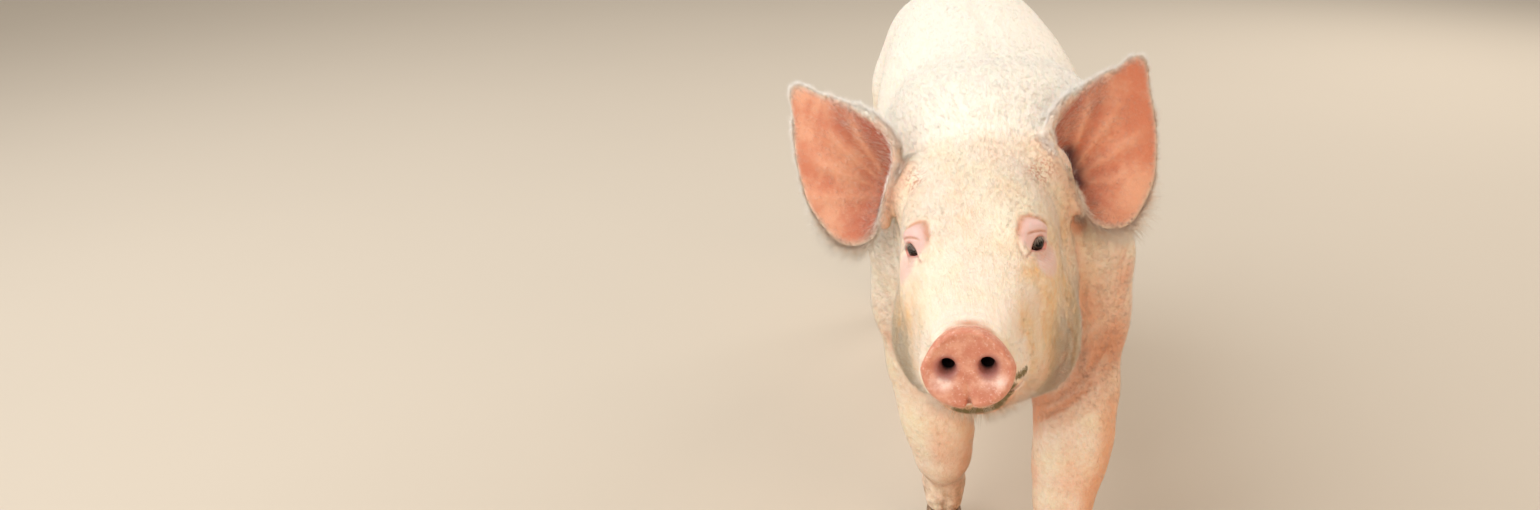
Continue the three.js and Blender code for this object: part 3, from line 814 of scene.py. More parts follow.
@dataclass
class Tail:
    """The tail: a stem out of the rump, then a curl that drifts sideways as it turns."""

    root: Triple = (0, 610, 484)
    stem: float = 62
    dip: float = 10
    curl: float = 21
    turns: float = 1.15
    drift: float = 26
    radii: Pair = (13.5, 3.4)
    taper: float = 1.3
    pieces: int = 30

    def root_form(self, p: Array) -> Array:
        """The distance to the fleshy root of the tail."""
        return limb(p, (0, 600, 484, 26), (0, 630, 480, 17))

    def line(self) -> Array:
        """Points along the tail, each with its radius."""
        t = np.linspace(0, 1, self.pieces)
        along = t * (self.stem + 2 * math.pi * self.turns * self.curl)
        straight = np.minimum(along, self.stem)
        angle = np.maximum(along - self.stem, 0) / self.curl
        x, y, z = self.root
        tip = self.radii[1]
        return np.stack(
            [
                x + self.drift * angle / (2 * math.pi),
                y + straight + self.curl * np.sin(angle),
                z - self.dip * np.sin(math.pi * straight / self.stem / 2) + self.curl * (1 - np.cos(angle)),
                tip + (self.radii[0] - tip) * (1 - t) ** self.taper,
            ],
            1,
        )

    def nearest(self, p: Array, on_tail: Array) -> Array:
        """The number of the tail's nearest point for each place on it, and 0 elsewhere.

        Args:
            p: The points.
            on_tail: Which of them lie on the tail.

        Returns:
            One number for each place.
        """
        near = np.zeros(len(p), int)
        near[on_tail] = np.argmin(((p[on_tail][:, None] - self.line()[None, :, :3]) ** 2).sum(2), 1)
        return near

    def distance(self, p: Array) -> Array:
        """The distance to the tail.

        Args:
            p: The points.

        Returns:
            One distance for each point.
        """
        line = self.line()
        d = np.full(len(p), FAR)
        for a, b in zip(line[:-1], line[1:]):
            d = np.minimum(d, limb(p, a, b))
        return d


@dataclass
class Eye:
    """One eye: a ball with a bulging cornea behind two lids."""

    side: int
    head: Head
    at: Triple = EYE_AT
    radius: float = 11.5
    lid: float = 2.4
    around: float = 48
    gaze: Triple = (0.62, -0.76, 0.2)
    slant: float = -0.1
    opening: Pair = (11, 5.4)
    arch: Ball = (4.2, 10.5, -6.9, 1.0)
    floor: float = 8.8
    patch: tuple[Pair, ...] = (
        (-21, -9), (-21, 0), (-18, 10), (-12, 17.5), (-6, 21.5), (0, 21.5), (9, 18.5), (15, 15), (20, 11),
    )

    def __post_init__(self) -> None:
        """Works out the eye's frame: x towards the back corner, y up the lids, z along the gaze."""
        z = unit(np.array([self.side, 1, 1]) * self.gaze)
        x = unit(np.cross(np.array([0.0, 0.0, 1.0]), z)) * self.side
        y = np.cross(z, x) * self.side
        c, s = math.cos(self.slant), math.sin(self.slant)
        x, y = x * c + y * s, y * c - x * s
        place = np.array([self.side * self.at[0], *self.at[1:]])
        self.frame = self.head.frame.within(np.stack([x, y, z], 1), place)

    def slit(self, q: Array) -> Array:
        """The distance to the opening between the lids: arched above and nearly straight below.

        Args:
            q: The points, in the eye's frame.

        Returns:
            One distance for each point.
        """
        x, y, _ = q.T
        share = (x / self.opening[0]) ** 2
        top, rise, base, sink = self.arch
        return np.maximum(y - top + rise * share, base + sink * share - y) * 0.72

    def lids(self, d: Array, q: Array) -> Array:
        """Wraps the lids round the ball in a distance whose points are given in the eye's frame.

        Args:
            d: The distance so far.
            q: The points, in the eye's frame.

        Returns:
            The new distance.
        """
        ball = np.sqrt((q * q).sum(1)) - self.radius - self.lid
        brow = ellipsoid(q, (0, 9.5, 5.2), (13, 6.5, 7))
        d = melt(d, ball, 7)
        d = melt(d, brow, 6)
        return carve(d, np.maximum(self.slit(q), self.floor - q[:, 2]), 1.5)

    def creases(self, q: Array) -> tuple[Array, Array, Array]:
        """How near points lie to the crease over the lashes, the bare patch's border and the tear groove.

        Args:
            q: The points, in the eye's frame.

        Returns:
            Three shares from 0 to 1 for each point.
        """
        x, y, z = q.T
        front = step(z, -6, 3)
        fold = bump(y - 8.6 + 0.014 * (x + 1.5) ** 2, 0.85) * step(x, -14, -9) * (1 - step(x, 7, 12)) * front
        border = bump(from_path(q[:, :2], self.patch), 2.2) * front
        tear = bump(y + 7.5 - 0.5 * (x + 12), 1.1) * step(-x, 9, 12) * (1 - step(-x, 17, 22)) * front
        return fold, border, tear

    def folds(self, q: Array) -> Array:
        """How far the creases round the lids sink, in millimetres.

        Args:
            q: The points, in the eye's frame.

        Returns:
            One depth for each point.
        """
        x, y, z = q.T
        fold, border, tear = self.creases(q)
        front = step(z, -4, 4)
        ring = np.hypot(x / 13, (y + 1) / 9.5)
        lower = 0.8 * bump(ring - 1.15, 0.06) + 0.6 * bump(ring - 1.5 + 0.01 * x, 0.07)
        lower *= 1 - step(y, -7, -2)
        wrinkle = 0.55 * bump(np.sin(0.95 * (y + 0.55 * x)), 0.4) * bump(x - 4, 11) * bump(y + 21, 7)
        return 1.5 * fold + 1.1 * border + 0.8 * tear + (lower + wrinkle) * front

    def margin(self, q: Array) -> Array:
        """How close points lie to the edges of the lids: 1 on them."""
        return bump(self.slit(q) - 0.2, 1.1) * step(q[:, 2], 2, 7) * self.beside(q)

    def corners(self, q: Array) -> Array:
        """The pink flesh in the corners of the opening."""
        return (1 - step(self.slit(q), -0.4, 0.8)) * step(q[:, 2], 3, 7) * self.beside(q)

    def beside(self, q: Array) -> Array:
        """Which points lie no further to a side than the opening's corners."""
        return np.abs(q[:, 0]) < self.opening[0] + 2

    def bare(self, q: Array) -> tuple[Array, Array]:
        """The bare patches above and below the eye.

        Args:
            q: The points, in the eye's frame.

        Returns:
            Two shares from 0 to 1 for each point.
        """
        x, y, z = q.T
        front = step(z, -9, -2)
        above = 1 - step(np.hypot((x + 2) / 18, (y - 6) / 16), 0.78, 1.08)
        below = 1 - step(np.hypot((x - 7 - 0.2 * (y + 18)) / 20, (y + 16) / 16), 0.62, 1.12)
        return above * front * (y > -12), below * front


@dataclass
class Pig:
    """The whole animal as fields, and what is known of each place on its skin."""

    trunk: Trunk = field(default_factory=Trunk)
    head: Head = field(default_factory=Head)
    tail: Tail = field(default_factory=Tail)
    crest: Ball = (0, 276, 32, 64)
    crest_back: Ball = (-4, 6, 426, 98)
    throat: Ball = (0, 246, -32, 66)
    throat_back: Ball = (-4, -30, 362, 80)
    coronet: float = 30.2

    def __post_init__(self) -> None:
        """Makes the ears, eyes and legs, and the random waves of the skin."""
        head = self.head
        self.ears = (
            Ear(
                LEFT, (64.5, 258, 82.7), (0.579, 0.571, 0.582), (0.494, -0.814, 0.306), head,
                canal_lip=((21, -4), (14, 8), (9, 19)), pockets=((-5, 52, -10),),
            ),
            Ear(
                RIGHT, (69, 258, 79.7), (0.694, 0.337, 0.636), (0.347, -0.931, 0.115), head,
                canal=((11, 30), (6, 37)), canal_reach=8, root_colour=0.55,
            ),
        )
        self.eyes = (Eye(LEFT, head), Eye(RIGHT, head))
        self.legs = make_legs()
        self.slack = Ripple(46, 3)
        self.fine = Ripple(15, 5)

    def neck(self, p: Array) -> Array:
        """The distance to the neck.

        Args:
            p: The points.

        Returns:
            One distance for each point.
        """
        crest = (*self.head.spot(*self.crest[:3]), self.crest[3])
        throat = (*self.head.spot(*self.throat[:3]), self.throat[3])
        return melt(limb(p, crest, self.crest_back), limb(p, throat, self.throat_back), 40)

    def flesh(self, p: Array) -> Array:
        """The distance to the body without its ears, openings and fine forms.

        Args:
            p: The points.

        Returns:
            One distance for each point.
        """
        d = np.full(len(p), FAR)
        y = p[:, 1]
        for near, form, fillet in (
            (y > -150, self.trunk.distance, 50),
            ((y > -200) & (y < 170), self.neck, 50),
            (y < 8, self.head.distance, 26),
            (y > 560, self.tail.root_form, 16),
        ):
            if near.any():
                d[near] = melt(d[near], form(p[near]), fillet)
        for leg in self.legs:
            near = within(p, *leg.box())
            if near.any():
                d[near] = melt(d[near], leg.distance(p[near]), 30)
        return d

    def depth(self, p: Array) -> Array:
        """How deep the skin lies under the tips of the coat.

        Args:
            p: The points.

        Returns:
            One depth for each point.
        """
        s = self.head.frame.local(p)[:, 1]
        face = 0.4 + 1.1 * step(s, 12, 60) + 2.0 * step(s, 190, 300)
        return np.minimum(face, 1.6 + 1.9 * step(p[:, 2], 60, 240))

    def rough(self, p: Array, grow: float = 2.3) -> Array:
        """The distance to the skin with thickened ears and tail and no fine forms, for the first mesh.

        Args:
            p: The points.
            grow: How much thicker the thin parts are.

        Returns:
            One distance for each point.
        """
        d = self.flesh(p) + self.depth(p)
        q = self.head.frame.local(p)
        for ear in self.ears:
            self._add_ear(d, p, ear, grow)
        for eye in self.eyes:
            self._add_lids(d, p, eye)
        near = within(q, (-30, -20, -20), (30, 40, 25))
        if near.any():
            d[near] = carve(d[near], self.head.nostrils(q[near]), 3)
        near = within(p, (-60, 590, 420), (90, 740, 560))
        if near.any():
            d[near] = melt(d[near], self.tail.distance(p[near]) + 0.6 - grow * 0.25, 6)
        return self._cut_feet(d, p)

    def skin(self, p: Array) -> Array:
        """The distance to the finished skin."""
        return self._cut_feet(self.rough(p, 0.0) + self.relief(p), p)

    def relief(self, p: Array) -> Array:
        """How far the fine forms sink the skin, in millimetres.

        Args:
            p: The points.

        Returns:
            One depth for each point.
        """
        q = self.head.frame.local(p)
        out = np.zeros(len(p))
        wave = self.slack.at(p)
        near = within(q, (-110, -20, -200), (110, 350, 150))
        if near.any():
            out[near] += self._face_relief(q[near], wave[near])
        for eye in self.eyes:
            e = eye.frame.local(p)
            near = (e * e).sum(1) < 40**2
            if near.any():
                out[near] += eye.folds(e[near])
        body = np.ones(len(p))
        for ear in self.ears:
            e = ear.frame.local(p)
            near = within(e, (-60, -80, -45), (170, 130, 30))
            if near.any():
                e = e[near]
                body[near] = step(np.maximum(from_path(e, [row[:3] for row in ear.roll]) - 12, 0), 0, 14)
                body[near] *= step(np.abs(ear.blade(e)), 5, 12)
                _, _, share = ear.polar(e)
                middle, _ = ear.bend(e, share)
                front = step(e[:, 2] - middle, -0.4, 0.8) * (share < 0.985)
                out[near] -= 2.8 * ear.ridges(e) * front
        for leg in self.legs:
            low, high = leg.box()
            near = within(p, low, (high[0], high[1], 250))
            if near.any():
                out[near] += leg.detail(p[near])
        return out + self._body_relief(p, wave) * body

    def _face_relief(self, q: Array, wave: Array) -> Array:
        """The folds of the snout, lips and cheeks.

        Args:
            q: The points, in the head's frame.
            wave: The skin's waves there.

        Returns:
            One depth for each point.
        """
        x, s, z = q.T
        head = self.head
        along, up = head.disc_axes(q)
        reach = head.disc_reach(x, up)
        face = 1 - step(along, -5, 1)
        lip = -1.5 * bump(reach - 0.9, 0.1) * face
        dish = 1.1 * bump(reach, 0.62) * face
        lobes = -2.0 * bump(np.hypot((np.abs(x) - 14) / 12, (up + 17) / 10), 1.0) * face
        groove = 1.9 * bump(x + 0.5, 2.0) * face * step(-up, 4, 18)
        collar = 2.2 * bump(along - 9.5 + 0.0016 * x * x, 2.6) * step(up, -34, -8)
        lines = np.zeros(len(q))
        for place, depth, width in ((17, 1.2, 2.0), (25, 0.9, 2.2), (34.5, 0.6, 2.6), (46, 0.4, 3)):
            arch = s - place + 0.006 * x * x
            lines += depth * bump(arch, width) * step(z, 4, 22)
        beside = 0.55 * bump(np.sin((s - 0.25 * z) * 0.62 + 0.5 * wave), 0.42)
        beside *= step(np.abs(x), 24, 34) * step(s, 14, 20) * (1 - step(s, 44, 64))
        beside *= span(z, -26, -12, 8, 20)
        height, parting = head.mouth_line(q)
        mouth = 4.6 * bump(height, 1.25) * parting
        lips = -1.0 * (bump(height - 4.2, 3.2) + 0.8 * bump(height + 4.4, 3.4)) * parting
        corner = 1.3 * bump(np.hypot(s - 92, height - 4), 6) * (np.abs(x) > 20)
        cheek = 0.9 * bump(np.sin((s - 0.5 * z) * 0.12 + 0.6 * wave), 0.4)
        cheek *= span(s, 110, 150, 220, 270)
        cheek *= (1 - step(z, -40, 10)) * step(np.abs(x), 30, 50)
        half = mirrored(q)
        jowl = 3.4 * bump(from_path(half, head.jowl_crease), 5.0)
        jowl += 1.6 * bump(from_path(half, head.cheek_fold), 3.6)
        for fold in head.chest_folds:
            jowl += 2.2 * bump(from_path(half, fold), 3.4)
        return lip + dish + lobes + groove + collar + lines + beside + mouth + lips + corner + cheek + jowl

    def _body_relief(self, p: Array, wave: Array) -> Array:
        """The slack of the skin over the trunk, elbows and flanks, and the spine.

        Args:
            p: The points.
            wave: The skin's waves there.

        Returns:
            One depth for each point.
        """
        x, y, z = p.T
        body = span(y, -150, -60, 600, 640) * step(z, 180, 260)
        soft = 0.45 * wave * body * (1 - 0.6 * step(z, 400, 470))
        spine = 1.6 * bump(x + 2, 9) * step(z, 500, 530) * step(y, 40, 120) * (1 - step(y, 560, 610))
        elbow = 1.5 * bump(np.sin(0.16 * (y + 0.6 * z) + 0.8 * wave), 0.45)
        elbow *= bump(y - 48, 26) * bump(z - 268, 40) * step(np.abs(x), 60, 95)
        flank = 1.4 * bump(np.sin(0.13 * (y - 0.5 * z) + 0.8 * wave), 0.45)
        flank *= bump(y - 436, 30) * bump(z - 290, 46) * step(np.abs(x), 60, 90)
        nape = 1.2 * bump(np.sin(0.17 * (y - 0.35 * (z - 400)) + 0.7 * wave), 0.38)
        nape *= bump(y + 62, 36) * bump(z - 380, 70) * step(np.abs(x), 70, 100)
        return soft + spine + elbow + flank + nape + 0.12 * self.fine.at(p)

    def _add_ear(self, d: Array, p: Array, ear: Ear, grow: float) -> None:
        """Hollows the head in front of an ear and joins its blade, in place.

        Args:
            d: The distance so far.
            p: The points.
            ear: The ear.
            grow: How much thicker the thin parts are.
        """
        near = within(ear.frame.local(p), (-60, -90, -75), (190, 150, 50))
        if near.any():
            q = ear.frame.local(p[near])
            part = carve(d[near], ear.hollow(q), 5)
            d[near] = ear.rolled(melt(part, ear.blade(q, grow), 4), q)

    def _add_lids(self, d: Array, p: Array, eye: Eye) -> None:
        """Wraps an eye in its lids, in place.

        Args:
            d: The distance so far.
            p: The points.
            eye: The eye.
        """
        q = eye.frame.local(p)
        near = (q * q).sum(1) < 45**2
        if near.any():
            d[near] = eye.lids(d[near], q[near])

    def _cut_feet(self, d: Array, p: Array) -> Array:
        """Ends the skin at the coronets and adds the teats."""
        d = self.trunk.add_teats(d, p)
        return -melt(-d, p[:, 2] - self.coronet, 4)

    def from_eyes(self, p: Array) -> Array:
        """The distance from the nearer eye's middle."""
        return np.minimum(*(np.linalg.norm(eye.frame.local(p), axis=1) for eye in self.eyes))

    def on_head(self, p: Array, q: Array) -> Array:
        """How surely points belong to the head, given in the body's frame and in the head's.

        Args:
            p: The points.
            q: The points, in the head's frame.

        Returns:
            Shares from 0 to 1.
        """
        out = (1 - step(q[:, 1], 240, 330)) * step(q[:, 2], -165, -125)
        near = out > 0
        if near.any():
            out[near] *= 1 - step(self.head.distance(p[near]), 5, 18)
        return out

    def grain(self, p: Array) -> Array:
        """How long the skin's edges may be, in millimetres.

        Args:
            p: The points.

        Returns:
            One length for each point.
        """
        q = self.head.frame.local(p)
        _, s, z = q.T
        out = np.minimum(7.5, 3.4 + 0.035 * np.maximum(p[:, 2] - 40, 0))
        out = np.where(p[:, 1] > TAIL_Y, 2.6, out)
        out = np.where((p[:, 2] < LEG_Z) & (np.abs(p[:, 0]) < 60) & (p[:, 1] > 60), 4.0, out)
        on_head = (z > -140) & (s < 330)
        face = np.minimum(2.6 + 0.022 * np.maximum(s - 150, 0), 1.4 + 0.035 * np.maximum(s - 22, 0))
        out = np.where(on_head, np.minimum(out, face), out)
        for ear in self.ears:
            e = ear.frame.local(p)
            close = within(e, (-30, -70, -60), (165, 125, 25))
            _, _, share = ear.polar(e)
            out = np.where(close & (share < 1.15), np.minimum(out, 3.2 - 0.8 * step(share, 0.84, 0.97)), out)
        out = np.minimum(out, 1.05 + 0.055 * np.maximum(self.from_eyes(p) - 16, 0))
        height, parting = self.head.mouth_line(q)
        near_mouth = on_head & (np.abs(height) < 6) & (parting > 0.02)
        return np.where(near_mouth, np.minimum(out, 1.25), out)

    def marks(self, p: Array, normal: Array) -> dict[str, Array]:
        """What the finishes know of places on the skin.

        Args:
            p: The places, in millimetres.
            normal: The skin's outward directions there.

        Returns:
            Masks from 0 to 1 by name.
        """
        q = self.head.frame.local(p)
        on_head = self.on_head(p, q)
        blotch, fine = self.slack.at(p), self.fine.at(p)
        made = Marks()
        self._mark_snout(made, q, on_head, fine)
        self._mark_eyes(made, p)
        self._mark_ears(made, p, blotch, fine)
        self._mark_coat(made, p, normal, q, on_head)
        return {name: np.clip(value, 0, 1) for name, value in made.items()}

    def _mark_snout(self, made: Marks, q: Array, on_head: Array, fine: Array) -> None:
        """Marks the disc with its painted highlights and the painted shade inside its nostrils, the mouth,
        and painted shade in the creases of the snout, jowl and chest.

        Args:
            made: The masks so far, which it adds to.
            q: The points, in the head's frame.
            on_head: How surely the points belong to the head.
            fine: The fine waves there.
        """
        head = self.head
        x, s, z = q.T
        along, up = head.disc_axes(q)
        tunnel = head.nostrils(q)
        made["disc"] = (1 - step(along + 1.1 * fine, 4.5, 8.5)) * (head.disc_reach(x, up) < 1.3)
        deep = head.nostrils(q - np.array([0.9, 0.0, 1.5]))
        # painted shade: near black inside the nostrils, fading out towards their mouths
        made["hole"] = (1 - step(deep, -2.0, 1.6)) * step(along, -8.0, 4.0)
        made["hole"] = np.maximum(made["hole"], (1 - step(tunnel, 3, 6)) * step(along, -1, 6)) * (along < 60)
        made["hole_rim"] = (1 - step(tunnel + 0.4 * fine, 0.5, 5.5)) * made["disc"]
        # painted highlight: pale patches where the disc is wet under the nostrils, which are also made
        # glossier
        moist = np.hypot((np.abs(x) - 18.5) / 7.0, (up + 9.5) / 4.8)
        made["moist"] = 1.4 * bump(moist, 1.0) * made["disc"]
        height, parting = head.mouth_line(q)
        made["lips"] = bump(height, 1.8) * parting
        made["mud"] = bump(from_path(q, head.mud[:4]), 3.6)
        made.add("mud", bump(from_path(q, head.mud[3:]), 7.5))
        made["chin"] = step(along, 6, 12) * (1 - step(s, 30, 52)) * (1 - step(z, -40, -33)) * on_head
        # painted shade: the dark fold behind the disc's top rim
        collar = bump(along - 15.5 + 0.026 * (x - 1) ** 2, 6.0) * step(up, 14, 20)
        collar *= 1 - step(np.abs(x - 1), 16, 28)
        made["crease"] = collar * (0.72 + 0.25 * fine)
        # painted shade: the lower jaw on the shaded left side
        made.add("crease", 0.4 * step(-z, 42, 80) * step(x, 12, 40) * step(s, 20, 60) * on_head)
        half = mirrored(q)
        # painted shade along the creases of the jowl, cheek and chest
        for path, strength, width in (
            (head.jowl_crease, 0.85, 2.6),
            (head.cheek_fold, 0.45, 2.4),
            *((fold, 0.95, 3.6) for fold in head.chest_folds),
        ):
            made.add("crease", strength * bump(from_path(half, path), width))

    def _mark_eyes(self, made: Marks, p: Array) -> None:
        """Marks the lids, their edges and corners, and painted shade in the creases round them.

        Args:
            made: The masks so far, which it adds to.
            p: The points.
        """
        for eye in self.eyes:
            e = eye.frame.local(p)
            close = (e * e).sum(1) < eye.around**2
            above, below = eye.bare(e)
            fold, border, tear = eye.creases(e)
            wrinkle = 0.3 * below * bump(np.sin(0.95 * (e[:, 1] + 0.55 * e[:, 0])), 0.4)
            border = (0.2 + 0.75 * step(e[:, 1], 2, 12)) * border
            made.add("lid", np.maximum(above, 0.8 * below) * close)
            made.add("lid_edge", np.maximum(eye.margin(e), tear) * close)
            made.add("corner", eye.corners(e) * close)
            # painted shade in the creases round the eye
            made.add("crease", np.maximum(np.maximum(fold, border), wrinkle) * close)

    def _mark_ears(self, made: Marks, p: Array, blotch: Array, fine: Array) -> None:
        """Marks the ears' insides, edges and roots, with painted highlights on the ridges and painted shade
        in the hollows, in the ear openings and under the rolled edges.

        Args:
            made: The masks so far, which it adds to.
            p: The points.
            blotch: The broad waves there.
            fine: The fine waves there.
        """
        made["ear_in"] = made["canal"] = np.zeros(len(p))
        for ear in self.ears:
            e, close, share, rise = ear.survey(p)
            away = ear.from_roll(e)
            beyond = step(away, 4.2, 6.5) * (e[:, 0] > -6)
            inner = step(rise, -0.2, 1.2) * close * (1 - step(share, 0.95, 1.02)) * beyond
            # painted shade: darker and redder by the rolled edge, deep in the hollow, and less towards the
            # tip
            deep = (1 - step(away + 3 * blotch, 5, 58)) * (1 - 0.7 * step(e[:, 0], 70, 130))
            made.add("ear_in", inner)
            made.add("ear_edge", bump(share - 1.0, 0.06) * close)
            made.add("ear_deep", inner * deep)
            # painted highlight: the tops of the ridges are paler
            made.add("ear_ridge", np.clip(ear.ridges(e), 0, 1) * inner)
            # painted shade: near black deep in the hollow, and in the shadow along the lip of the rolled edge
            pit = from_path(e[:, :2], ear.canal) + 1.5 * fine
            made.add("canal", (1 - step(pit, 0.2 * ear.canal_reach, ear.canal_reach)) * inner)
            if ear.canal_lip:
                lip = from_path(e[:, :2], ear.canal_lip) + 0.6 * fine
                made.add("canal", 0.9 * (1 - step(lip, 1.5, 7)) * close * (rise > 1))
            root = within(e, (-30, -36, 0), (60, 60, 30)) * (1 - step(away, 7, 24)) * (1 - inner)
            made.add("ear_in", ear.root_colour * (root * (1 - made["canal"])))

    def _mark_coat(self, made: Marks, p: Array, normal: Array, q: Array, on_head: Array) -> None:
        """Marks what the coat shares: the flush of the skin and its stains, both with painted shade mixed in,
        soil, and the white of the hair with painted light where the skin faces up or towards the lamps.

        Args:
            made: The masks so far, which it adds to.
            p: The points.
            normal: The skin's outward directions there.
            q: The points, in the head's frame.
            on_head: How surely the points belong to the head.
        """
        x, s, z = q.T
        side, _, top = normal.T
        along, _ = self.head.disc_axes(q)
        half = mirrored(q)
        blotch, fine = self.slack.at(p), self.fine.at(p)
        off_head, off_ears = 1 - on_head, 1 - made["ear_in"]
        made["rust"] = np.zeros(len(p))
        for spot in self.head.rust_spots:
            away = np.linalg.norm((half - np.array(spot)) / np.array([17.0, 20.0, 15.0]), axis=1)
            made.add("rust", (1 - step(away + 0.14 * fine, 0.3, 1.1)) * off_ears)
        made["rust"] = made["rust"] * 0.7
        # painted shade: the lower jaw on the shaded left side, warmed and darkened with the grime and flush
        # colours
        jaw = step(-z, 12, 62) * step(x, 12, 52) * step(s, 20, 60) * on_head
        # painted shade: the grime is laid on more thickly on the face's shaded left side
        warm_shade = step(x, 20, 50) * step(s, 20, 60)
        cheek = (0.6 + 0.9 * warm_shade) * step(np.abs(x), 26, 46) * step(s, 36, 80)
        cheek = cheek * (1 - step(s, 215, 270)) * (1 - step(z, 30, 58))
        # painted shade: a warm tint in the shadow under the right jowl
        under_jowl_shade = step(-x, 40, 58) * step(s, 85, 120) * (1 - step(s, 200, 260))
        under_jowl_shade = under_jowl_shade * (1 - step(z, 0, 30)) * on_head
        # painted shade: the left sides of the forelegs and the lower chest, turned away from the main lamps
        shade = step(side, 0.15, 0.85) * (1 - step(p[:, 2], 190, 320)) * (p[:, 1] < 40)
        # real dirt on the cheeks and the head, with the painted shade above mixed in
        made["grime"] = cheek * (0.55 + 0.3 * blotch) * step(z, -110, -70) * (1 - 0.8 * made["lid"])
        made.add("grime", 0.6 * jaw * (0.7 + 0.3 * blotch))
        made.add("grime", 0.22 * on_head * step(z, 20, 60) * (0.5 + 0.6 * blotch))
        made.add("grime", (0.8 + 0.2 * blotch) * under_jowl_shade)
        made.add("grime", 0.22 * shade)
        low = 1 - step(p[:, 2], 60, 330)
        # painted shade: the skin is made pinker where little light reaches it, under the body and the head
        # and round the chest folds
        under = step(-top, 0.1, 0.9)
        throat = on_head * (1 - step(z, -80, -30))
        folds = 1 - step(from_path(half, self.head.chest_folds[0]), 4, 34)
        # painted shade: a broad dark band round the first chest fold, on the shaded left side
        made.add("crease", 0.55 * folds * off_head * (p[:, 0] > 0))
        # the side that faces the lamps, where the flush is painted paler and the hair whiter as painted light
        lit = step(-side, -0.1, 0.7)
        chin = made.pop("chin")
        # the skin's real flush, with painted shade that makes it pinker underneath, on the shaded left side
        # and in the folds, and painted light that makes it paler on top and on the lit side
        blush = 0.26 - 0.20 * lit + 0.10 * blotch + 0.16 * low + 0.30 * under + 0.22 * throat
        blush = blush + 0.5 * chin + 0.45 * jaw + 0.3 * shade
        blush = blush - 0.36 * step(top, 0.0, 0.7) * (1 - 0.6 * low)
        neck = bump(p[:, 1] + 62, 64) * (1 - step(top, -0.2, 0.5)) * off_head
        blush += neck * (0.06 + 0.40 * step(p[:, 0], -20, 20)) + 0.45 * folds * off_head
        blush += 0.26 * step(along, 6, 12) * (1 - step(along, 20, 60)) * step(np.abs(x), 8, 26) * on_head
        for ear in self.ears:
            e, close, _, _ = ear.survey(p)
            blush += 0.28 * close * (1 - step(ear.from_roll(e), 3, 22))
            # painted shade: pinker and darker in the hollow between the ear's root and the head
            for shade_pocket in ear.pockets:
                hollow = 1 - step(np.linalg.norm(e - np.array(shade_pocket), axis=1), 7, 22)
                blush += 0.6 * hollow
                made.add("crease", 0.5 * hollow)
        made["blush"] = blush * off_ears
        made["soil"] = (1 - step(p[:, 2], 26, 150)) * (0.55 + 0.35 * blotch + 0.2 * fine)
        made.add("soil", 0.75 * chin * (0.8 + 0.4 * fine))
        # the white of the hair on the upper body, laid on more thickly as painted light where the skin faces
        # up or towards the lamps
        chalk = step(top + 0.5 * lit, 0.1, 0.75) * (1 - 0.65 * on_head)
        made["chalk"] = chalk * step(p[:, 2], 250, 360) * off_ears
        made["upright"] = 1 - step(p[:, 2], 190, 270)

    def lie(self, p: Array, normal: Array) -> Array:
        """The way the coat lies: unit vectors along the skin.

        Args:
            p: The roots.
            normal: The skin's outward directions there.

        Returns:
            One vector for each root.
        """
        q = self.head.frame.local(p)
        x, _, z = q.T
        down = 0.18 + 0.5 * step(p[:, 1], 520, 640)
        way = np.stack([np.zeros(len(p)), 1 - 0.5 * step(p[:, 1], 560, 640), -down], 1)
        leg = ((1 - step(p[:, 2], 190, 300)) * (1 - step(-normal[:, 2], 0.5, 0.9)))[:, None]
        way = way * (1 - leg) + np.array([0, 0.12, -1.0]) * leg
        on_head = self.on_head(p, q)[:, None]
        fan = 0.35 * np.sign(x) * step(np.abs(x), 5, 45) * step(z, 0, 40)
        lean = -0.3 * (1 - step(z, -40, 40)) + 0.12 * step(z, 40, 90)
        face = self.head.frame.turn(np.stack([fan, np.ones(len(p)), lean], 1))
        way = way * (1 - on_head) + face * on_head
        for ear in self.ears:
            e = ear.frame.local(p)
            close = within(e, (-60, -75, -60), (170, 125, 30))
            _, _, share = ear.polar(e)
            middle, _ = ear.bend(e, share)
            out = unit(e * [1, 1, 0] - [0.4 * ear.middle[0], ear.middle[1], 0])
            tip = np.array([1.0, 0.12, 0.0])
            outward = step(share, 0.7, 1.0)[:, None]
            blade = ear.frame.turn(tip * (1 - outward) + out * outward * 1.6)
            w = (close * (1 - step(share, 1.02, 1.25)) * step(e[:, 2] - middle, -16, -7))[:, None]
            way = way * (1 - w) + unit(blade) * w
        on_tail = p[:, 1] > TAIL_Y - 4
        if on_tail.any():
            ways = unit(np.gradient(self.tail.line()[:, :3], axis=0))
            way[on_tail] = ways[self.tail.nearest(p, on_tail)[on_tail]]
        wave = 0.09 * np.stack([self.slack.at(p), self.slack.at(p[:, ::-1]), self.fine.at(p)], 1)
        way = way + wave
        return unit(way - (way * normal).sum(1, keepdims=True) * normal)


def make_legs() -> tuple[Leg, ...]:
    """The four legs in a slow walking stance."""
    fore_left = (
        (76, -14, 352, 54), (82, -12, 290, 46), (76, -42, 222, 41), (75, -60, 176, 36), (69, -70, 141, 31),
        (65, -78, 110, 27), (62, -86, 84, 22.5), (60, -96, 60, 23.5), (59, -104, 42, 22),
    )
    fore_right = (
        (-76, 6, 352, 54), (-80, 16, 290, 46), (-70, 8, 222, 40), (-62, 0, 172, 35), (-55, -2, 142, 31),
        (-52, 2, 114, 28), (-49, 16, 86, 22.5), (-48, 28, 60, 23.5), (-48, 20, 42, 22),
    )
    hind_left = (
        (57, 500, 380, 69), (68, 484, 296, 54), (72, 524, 236, 38), (70, 548, 196, 28),
        (66, 540, 136, 22.5), (63, 528, 82, 24.5), (62, 512, 44, 23),
    )
    hind_right = (
        (-57, 526, 380, 69), (-68, 530, 296, 54), (-72, 582, 240, 38), (-70, 610, 200, 28),
        (-66, 612, 138, 22.5), (-63, 610, 84, 24.5), (-62, 596, 44, 23),
    )
    return (
        Leg("fore_left", LEFT, True, 5, (59, -114), fore_left),
        Leg("fore_right", RIGHT, True, 5, (-48, 9), fore_right),
        Leg("hind_left", LEFT, False, 3, (62, 501), hind_left),
        Leg("hind_right", RIGHT, False, 3, (-62, 584), hind_right),
    )


# ---------------------------------------------------------------- meshing


